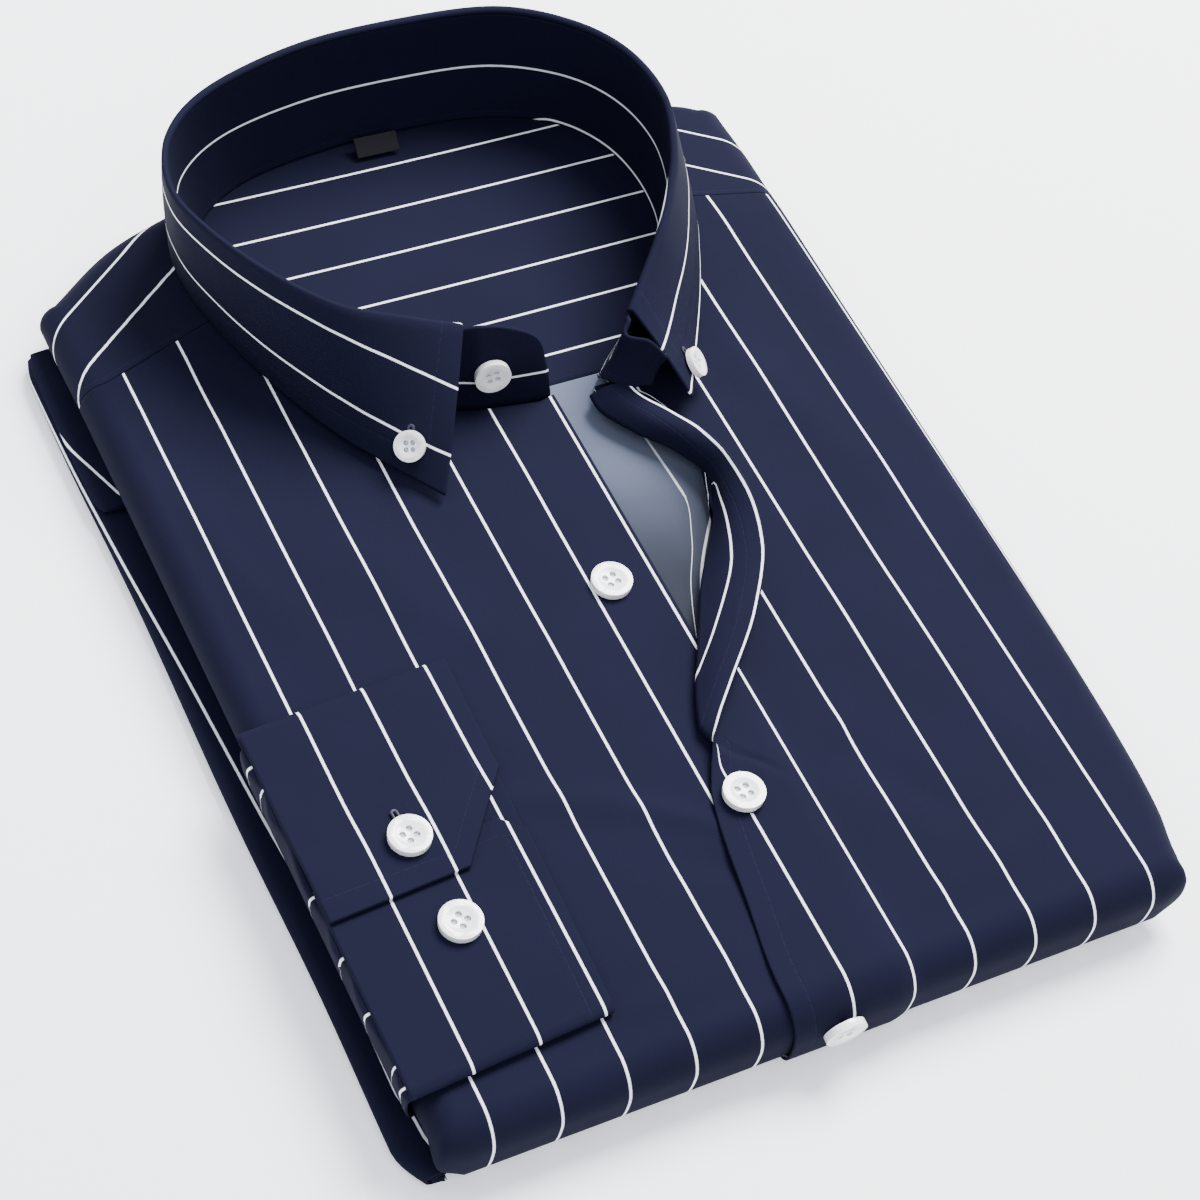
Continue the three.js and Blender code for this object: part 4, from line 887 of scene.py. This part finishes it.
# Round the cuff: place along its width, height above the chest.
CUFF_PATH = [
    (49.5, 4.5), (54, 4.6), (60, 4.6), (66, 4.4), (72.5, 3.7), (80, 3.1), (92, 3), (104, 3), (107.6, 2.7),
    (109, 1.5), (107.6, 0.3), (104, 0), (75, 0), (50, 0), (25, 0), (5, 0), (1.4, 0.3), (0, 1.5), (1.4, 2.7),
    (5, 3), (20, 3), (40, 3), (54, 3), (59.5, 3),
]

CUFF_STRIPE = 16.3
EDGE_LINE = 6.0  # the stitches' distance from the cuff's and the leaf's edges

stretches = [evenly(0, 4, 0.09, 0.05)[:-2], evenly(4, 20, 0.1, 0.05)[:-2], evenly(20, 23, 0.09, 0.02)]
t = np.concatenate(stretches)
path = along_curve(CUFF_PATH, t)
s = path[:, 0]
full = CUFF["narrow"] + (CUFF["width"] - CUFF["narrow"]) * s / 109
mitre = 38 + (full - 38) * np.clip((s - 49.5) / 23, 0, 1)
width = np.where(t < 5, mitre, full - 6 * np.clip((s - 54) / 5.5, 0, 1) * (t > 20.9))
q = width[:, None] * evenly(0, 1, 0.03, 0.006)[None, :]
wave = 0.25 * np.sin(q / 13 + 1) * np.sin(s / 15)[:, None]
height = TOP + 0.3 + path[:, 1:2] + np.where((t < 8)[:, None], wave * ramp(49, 56, s)[:, None], 0)
corner_x, corner_y = CUFF["corner"]
face = np.stack([corner_x + q, corner_y + s[:, None] + CUFF["skew"] * q, height + 0 * q], -1)
weave = np.stack([q - CUFF_STRIPE, np.broadcast_to(s[:, None], q.shape)], -1)
cuff = shell("barrel_cuff", face, CUFF["ply"], weave, sewn="start end right", round_edge=0.45)
cuff.data.materials.append(poplin("poplin_cuff", stitching=(EDGE_LINE,)))
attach(cuff, "root")
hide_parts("cuff")


# ---- Collar -----------------------------------------------------------------------------------
# A point collar: the stand rises from the neck seam and the leaf turns down over it. Both are two
# plies of poplin with interlining, so they hold a crisp curve. Stitched 6 mm inside the leaf's
# edges.

COLLAR_PLY = 1.25
SEAM_FOLD = [
    (14.6, 56.2, 30), (11, 59, 41), (0.5, 61, 47), (-11, 62, 50), (-26, 66.5, 53.5), (-43, 74, 56.5),
    (-57, 89.5, 58.5), (-67, 108, 59.5), (-71, 126, 59.5), (-64, 146, 58), (-46, 161, 57), (-14, 171, 56),
    (20, 173, 55), (48, 169.5, 55), (67, 157, 55.5), (77, 140, 56.5), (78.5, 119, 57.5), (72.5, 100.5, 57),
    (65.5, 88, 55.5), (57, 76, 52.5), (48, 66, 48.5), (39, 56.5, 45), (34.4, 51.6, 42), (39.6, 46.6, 42.2),
    (44.4, 43.4, 37.5),
]
LEAF_HEM = [
    (-28.5, 28.5, 24.6), (-37, 41, 24.6), (-47, 56.5, 24.4), (-56, 76.5, 24.2), (-62.5, 98, 23.2),
    (-66, 120, 21.8), (-63.5, 141, 20.2), (-48, 163, 18.6), (-15, 174.5, 17.2), (21, 177, 16.6),
    (50, 173.5, 17), (71.5, 161.5, 18), (84, 144, 19.4), (88, 123, 21.2), (86, 103, 23.2), (79, 86, 24.2),
    (71.5, 71, 24.8), (62, 54.5, 26), (49.5, 34.5, 29.4),
]
# Round the collar: how far below the fold the leaf's first stripe runs, how far below the stand's
# top the first one inside it runs, and how far past its foot the second one does.
LEAF_STRIPE = [
    (3, 17.7), (3.5, 15.2), (4, 12.9), (4.5, 10.4), (5, 8.3), (5.6, 7.5), (8, 8), (14, 8), (17, 14.5),
    (18.5, 16.6), (20, 14.4), (21, 14),
]
STAND_STRIPE = [(0, 17), (8, 18), (10, 19.5), (15, 19.5), (24, 18)]
FOOT_STRIPE = [(0, 4), (13.2, 4), (14, -0.9), (24, -0.9)]
BAND_STRIPE = 12.2  # the one outside, up from the foot
LEAF_ENDS = (3, 21)  # stations


def level_out(points, t):
    """The level direction out of the neck along a ring of points."""
    last = len(points) - 1
    way = along_curve(points, np.minimum(t + 0.4, last)) - along_curve(points, np.maximum(t - 0.4, 0))
    return unit(np.stack([-way[..., 1], way[..., 0], 0 * way[..., 0]], -1))


stretches = [evenly(0, 2, 0.05, 0.03)[:-2], evenly(2, 22, 0.07, 0.03)[:-2], evenly(22, 24, 0.05, 0.03)]
t = np.concatenate(stretches)
base = along_curve(SEAM_LINE, t)
tab_rise = np.where(base[:, 0] > 22, 1 - ramp(48, 60, base[:, 1]), 1 - ramp(42, 56, base[:, 1]))
base = np.column_stack([base, inner_height(base[:, 1]) + 0.35 + 9 * tab_rise])
fold = along_curve(SEAM_FOLD, t)
covered = (ramp(2.6, 3.0, t) * (1 - ramp(21.0, 21.4, t)))[:, None]
top = fold + covered * (-1.2 * level_out(SEAM_FOLD, t) + [0, 0, -COLLAR_PLY - 0.9])
out = level_out(SEAM_LINE, t)
h = evenly(0, 1, 0.07, 0.012)
face = base[:, None] + (top - base)[:, None] * h[None, :, None]
face = face + out[:, None] * (0.7 + 1.2 * np.sin(math.pi * h))[None, :, None]
rise = travelled(face, 1)
run = np.broadcast_to(travelled(face[:, 0])[:, None], rise.shape)
weave = np.stack([np.minimum(rise - BAND_STRIPE, CLEAR), run], -1)
whole = rise[:, -1:]
down = whole - rise
# On the tab its two sides' stripes are one, so that none crosses its edge.
tab = 1 - ramp(2.0, 3.2, t)[:, None]
upper = through(STAND_STRIPE, t)[:, None] * (1 - tab) + (whole - BAND_STRIPE) * tab
lower = whole + through(FOOT_STRIPE, t)[:, None]
first, second = np.clip(down - upper, -CLEAR, CLEAR), PITCH + np.maximum(down - lower, -CLEAR)
inside = np.stack([-np.where(down < (upper + lower) / 2, first, second), run], -1)
stand = shell("collar_band", face, COLLAR_PLY, weave, inside, sewn="start end left", round_edge=0.45)
stand.data.materials.append(poplin("poplin_stand", stitching=(2.0,)))
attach(stand, "root")
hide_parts("collar_stand")


def leaf_point(t, share):
    """The leaf's outer face, from its fold (0) to its edge (1)."""
    fold_at = along_curve(SEAM_FOLD, t)
    hem = along_curve(LEAF_HEM, t - LEAF_ENDS[0])
    middle = fold_at * 0.55 + hem * 0.45 + level_out(SEAM_FOLD, t) * 1.6
    share = np.asarray(share)[..., None]
    upper, lower = fold_at * (1 - share) + middle * share, middle * (1 - share) + hem * share
    return upper * (1 - share) + lower * share


# Over the fold and down inside: how far in from it and how far up.
CREST = [(-0.05, -0.1), (-0.75, 0.02), (-1.5, -0.35), (-1.95, -1.1)]

t = evenly(*LEAF_ENDS, 0.07, 0.02)
shares = np.concatenate([[1, 0.988], np.linspace(0.95, 0.06, 24)])
fallen = leaf_point(*np.meshgrid(t, shares, indexing="ij"))
fold, out = along_curve(SEAM_FOLD, t), level_out(SEAM_FOLD, t)
crest = [fold + out * side + [0, 0, upward] for side, upward in CREST]
face = np.concatenate([fallen, np.stack(crest, 1)], axis=1)
from_hem = travelled(face, 1)
from_fold = from_hem[:, -3:-2] - from_hem
run = np.broadcast_to(travelled(face[:, 12])[:, None], from_fold.shape)
upper = through(LEAF_STRIPE, t)[:, None]
to_hem = ramp(15, 16.5, t)[:, None]
lower = (upper + PITCH) * (1 - to_hem) + (from_fold[:, :1] - 1.3) * to_hem
first, second = np.minimum(from_fold - upper, CLEAR), PITCH + np.maximum(from_fold - lower, -CLEAR)
weave = np.stack([np.where(from_fold < (upper + lower) / 2, first, second), run], -1)
leaf = shell("collar_fall", face, COLLAR_PLY - 0.25, weave, sewn="start end left", round_edge=0.45)
leaf.data.materials.append(poplin("poplin_leaf", stitching=(EDGE_LINE,)))
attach(leaf, "root")
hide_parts("collar_leaf")


# ---- Neck label -------------------------------------------------------------------------------
# A small bare woven tab sewn inside the back of the neck, leaning on the stand.


def round_edges(piece, width, **limits):
    """Bevels a piece's edges a little."""
    bevel = piece.modifiers.new("soft_edge", "BEVEL")
    bevel.width, bevel.segments = width, 3
    for key, value in limits.items():
        setattr(bevel, key, value)
    bpy.context.view_layer.objects.active = piece
    bpy.ops.object.modifier_apply(modifier="soft_edge")


def in_two_tones(name, grain, settings, sizes, tones, surface, relief=0.0):
    """A material that wavers between two tones over its grain, and stands up with it."""
    material, tree, shader = bare_material(name)
    at = add(tree, "TexCoord").outputs["Object"]
    waver = add(tree, grain, settings, {"Vector": at, **sizes}).outputs["Fac"]
    colour = mixed(tree, waver, linear(tones[0]), linear(tones[1]))
    feed(tree, shader, {"Base Color": colour, **surface})
    if relief:
        bump = add(tree, "Bump", {}, {"Strength": relief, "Distance": 0.0001, "Height": waver})
        feed(tree, shader, {"Normal": bump.outputs[0]})
    return material


def woven_tape():
    """Black damask tape: a dense satin with a dull shine and fine ribs across it."""
    surface = {"Roughness": 0.75, "Specular IOR Level": 0.15}
    ribs = {"Scale": 700.0, "Distortion": 0.5}
    tones = ("07070c", "101118")
    return in_two_tones("woven_tape", "TexWave", {"bands_direction": "X"}, ribs, tones, surface, relief=0.4)


bpy.ops.mesh.primitive_cube_add(size=1)
label = bpy.context.object
label.name = "woven_label"
label.data.transform(Matrix.Diagonal((0.0135, 0.006, 0.0006, 1)))
label.data.transform(Matrix.Rotation(-0.02, 4, "Z") @ Matrix.Rotation(0.62, 4, "X"))
label.data.transform(Matrix.Translation(Vector(place([9.5, 161.2, 17.6]))))
round_edges(label, 0.00025)
label.data.materials.append(woven_tape())
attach(label, "root")
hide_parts("neck_label")


# ---- Buttons ----------------------------------------------------------------------------------
# Four-hole shirt buttons in white pearly polyester: a raised rim round a shallow dish, sewn on
# with pale thread that fills the holes. The stand's and the leaf's are smaller.

def pearl_polyester():
    """Cast polyester button stock: glossy, milky white, with a faint nacreous cloud."""
    cloud = {"Scale": 260.0, "Detail": 2.0, "Distortion": 1.2}
    surface = {"Roughness": 0.24, "Coat Weight": 0.5, "Coat Roughness": 0.08}
    surface.update({"Subsurface Weight": 0.15, "Subsurface Scale": 0.001})
    return in_two_tones("pearl_polyester", "TexNoise", {}, cloud, ("e6e7ea", "f7f6f2"), surface)


def button_thread():
    """Twisted polyester thread: soft, pale grey, finely ribbed by its twist."""
    twist, tones = {"bands_direction": "DIAGONAL"}, ("8d919d", "c3c6cf")
    return in_two_tones("button_thread", "TexWave", twist, {"Scale": 900.0}, tones, {"Roughness": 0.8})


def cylinder(radius, low, high, x=0.0, y=0.0, sides=48):
    """A round bar along Z, in millimetres."""
    middle = (x / 1000, y / 1000, (low + high) / 2000)
    bpy.ops.mesh.primitive_cylinder_add(
        vertices=sides, radius=radius / 1000, depth=(high - low) / 1000, location=middle
    )
    bar = bpy.context.object
    bpy.ops.object.transform_apply(location=True)
    return bar


def cut_out(body, cutter):
    """Takes the cutter's shape out of the body and drops the cutter."""
    cut = body.modifiers.new("cut", "BOOLEAN")
    cut.operation, cut.solver, cut.object = "DIFFERENCE", "EXACT", cutter
    bpy.context.view_layer.objects.active = body
    bpy.ops.object.modifier_apply(modifier="cut")
    bpy.data.objects.remove(cutter)


def one_button(diameter, thickness):
    """A button with its back at the origin, facing up."""
    radius = diameter / 2
    body = cylinder(radius, 0, thickness)
    dish, depth = radius * 0.66, 0.55
    ball = (dish**2 + depth**2) / (2 * depth)
    bpy.ops.mesh.primitive_uv_sphere_add(
        segments=64, ring_count=96, radius=ball / 1000, location=(0, 0, (thickness - depth + ball) / 1000)
    )
    cutter = bpy.context.object
    bpy.ops.object.transform_apply(location=True)
    cut_out(body, cutter)
    offset, hole = diameter * 0.11, diameter * 0.078
    corners = [(sx * offset, sy * offset) for sx in (-1, 1) for sy in (-1, 1)]
    for x, y in corners:
        cut_out(body, cylinder(hole, -1, thickness + 1, x, y, 20))
    round_edges(body, 0.00022, limit_method="ANGLE", angle_limit=math.radians(35))
    body.data.materials.append(PEARL)
    body.data.materials.append(THREAD)
    strands = []
    for x, y in corners:
        strand = cylinder(hole * 0.86, -0.2, thickness - depth - 0.45, x * 0.99, y * 0.99, 10)
        strand.data.materials.append(PEARL)
        strand.data.materials.append(THREAD)
        strand.data.polygons.foreach_set("material_index", [1] * len(strand.data.polygons))
        strands.append(strand)
    bpy.ops.object.select_all(action="DESELECT")
    for piece in (*strands, body):
        piece.select_set(True)
    bpy.context.view_layer.objects.active = body
    bpy.ops.object.join()
    bpy.ops.object.shade_smooth_by_angle(angle=math.radians(32))
    return body


PEARL, THREAD = pearl_polyester(), button_thread()


def leaf_seat(t, share, lift):
    """A place on the leaf and the way it faces."""
    t = np.array(t)
    along = leaf_point(t + 0.1, share) - leaf_point(t - 0.1, share)
    way = unit(np.cross(along, leaf_point(t, share + 0.03) - leaf_point(t, share - 0.03)))
    return leaf_point(t, share) + way * lift, way


def turn_to(piece, at, way, turned):
    """Moves a piece from the origin to its place on the shirt, facing a way."""
    facing = Vector(way).to_track_quat("Z", "Y").to_matrix().to_4x4()
    spin = Matrix.Rotation(turned, 4, "Z")
    piece.data.transform(Matrix.Translation(Vector(place(at))) @ facing @ spin)


leaf_left, leaf_left_way = leaf_seat(3.77, 0.82, 0.5)
leaf_right, leaf_right_way = leaf_seat(20.55, 0.92, 0.6)
# Name, diameter, thickness, back of the button, the way it faces, and how far it is turned.
BUTTONS = [
    ("button_front_1", 11.2, 1.9, (2.4, -12, 22.2), (0, 0, 1), 0.2),
    ("button_front_2", 11.2, 1.9, (4.2, -85, 23.9), (0.02, 0, 1), 0.1),
    ("button_front_3", 11.2, 1.9, (1.0, -149.6, 13.6), (0, -0.98, -0.1), 0.0),
    ("button_cuff_1", 11.2, 1.9, (-81.7, -68.9, 27.1), (0, 0.01, 1), 0.5),
    ("button_cuff_2", 11.2, 1.9, (-79.4, -94.7, 25.5), (0, 0, 1), 0.7),
    ("button_stand", 10.2, 1.9, (-2.6, 56.8, 33.0), (-0.161, -0.979, 0.128), 0.3),
    ("button_leaf_left", 8.6, 1.8, leaf_left, leaf_left_way, 0.4),
    ("button_leaf_right", 8.6, 1.8, leaf_right, leaf_right_way, 0.1),
]

patterns = {}
for name, diameter, thickness, seat, way, turned in BUTTONS:
    if diameter not in patterns:
        patterns[diameter] = one_button(diameter, thickness)
    button = patterns[diameter].copy()
    button.data = patterns[diameter].data.copy()
    button.name = "sewn_" + name
    bpy.context.collection.objects.link(button)
    turn_to(button, seat, way, turned)
    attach(button, "root")
    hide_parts(name)
for pattern in patterns.values():
    bpy.data.objects.remove(pattern)


# ---- Buttonholes ------------------------------------------------------------------------------
# Worked slits in the lapped pieces under their buttons: a narrow ring of close satin stitches in
# the cloth's own colour, of which only an end shows past each button.

def satin_stitch():
    """Navy thread in close parallel stitches: small ribs with a soft silky light on them."""
    ribs, tones = {"bands_direction": "Y"}, ("0d0e1d", "1d1f3a")
    surface = {"Roughness": 0.6}
    return in_two_tones("satin_stitch", "TexWave", ribs, {"Scale": 620.0}, tones, surface, relief=0.6)


SATIN = satin_stitch()
HOLE_RING, HOLE_THREAD = 0.7, 0.4  # radii of the slit's round ends and of the stitches
HOLE_FLAT = 0.55  # how far the ring is pressed flat
left_hole = leaf_left - leaf_left_way * 0.45 + [0.1, 0.6, 0.4]
right_hole = leaf_right - leaf_right_way * 0.5 + [0, 0.6, 0.4]
# Name, middle, the way it faces, its turn on the cloth, how long it is, and the cloth it is in.
BUTTONHOLES = [
    ("cuff_buttonhole", (-81.9, -66.7, 26.95), (0, 0.01, 1), 0.06, 13, "cuff_cloth"),
    ("front_buttonhole", (4.2, -85, 23.6), (0, 0, 1), 0.0, 11, "left_front_cloth"),
    ("lower_buttonhole", (1.0, -149.4, 13.2), (0, -0.98, -0.1), 0.0, 11, "left_front_cloth"),
    ("leaf_buttonhole_left", left_hole, leaf_left_way, 0.3, 9.6, "leaf_cloth"),
    ("leaf_buttonhole_right", right_hole, leaf_right_way, -0.3, 9.6, "leaf_cloth"),
]
for name, middle, way, turned, length, cloth_slot in BUTTONHOLES:
    bpy.ops.mesh.primitive_torus_add(
        major_radius=HOLE_RING / 1000, minor_radius=HOLE_THREAD / 1000, major_segments=24, minor_segments=8
    )
    hole = bpy.context.object
    hole.name = name
    for vertex in hole.data.vertices:
        vertex.co.y += math.copysign((length / 2 - HOLE_RING) / 1000, vertex.co.y)
        vertex.co.z *= HOLE_FLAT
    bpy.ops.object.shade_smooth()
    turn_to(hole, middle, way, turned)
    hole.data.materials.append(SATIN)
    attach(hole, "root")

bpy.context.view_layer.update()
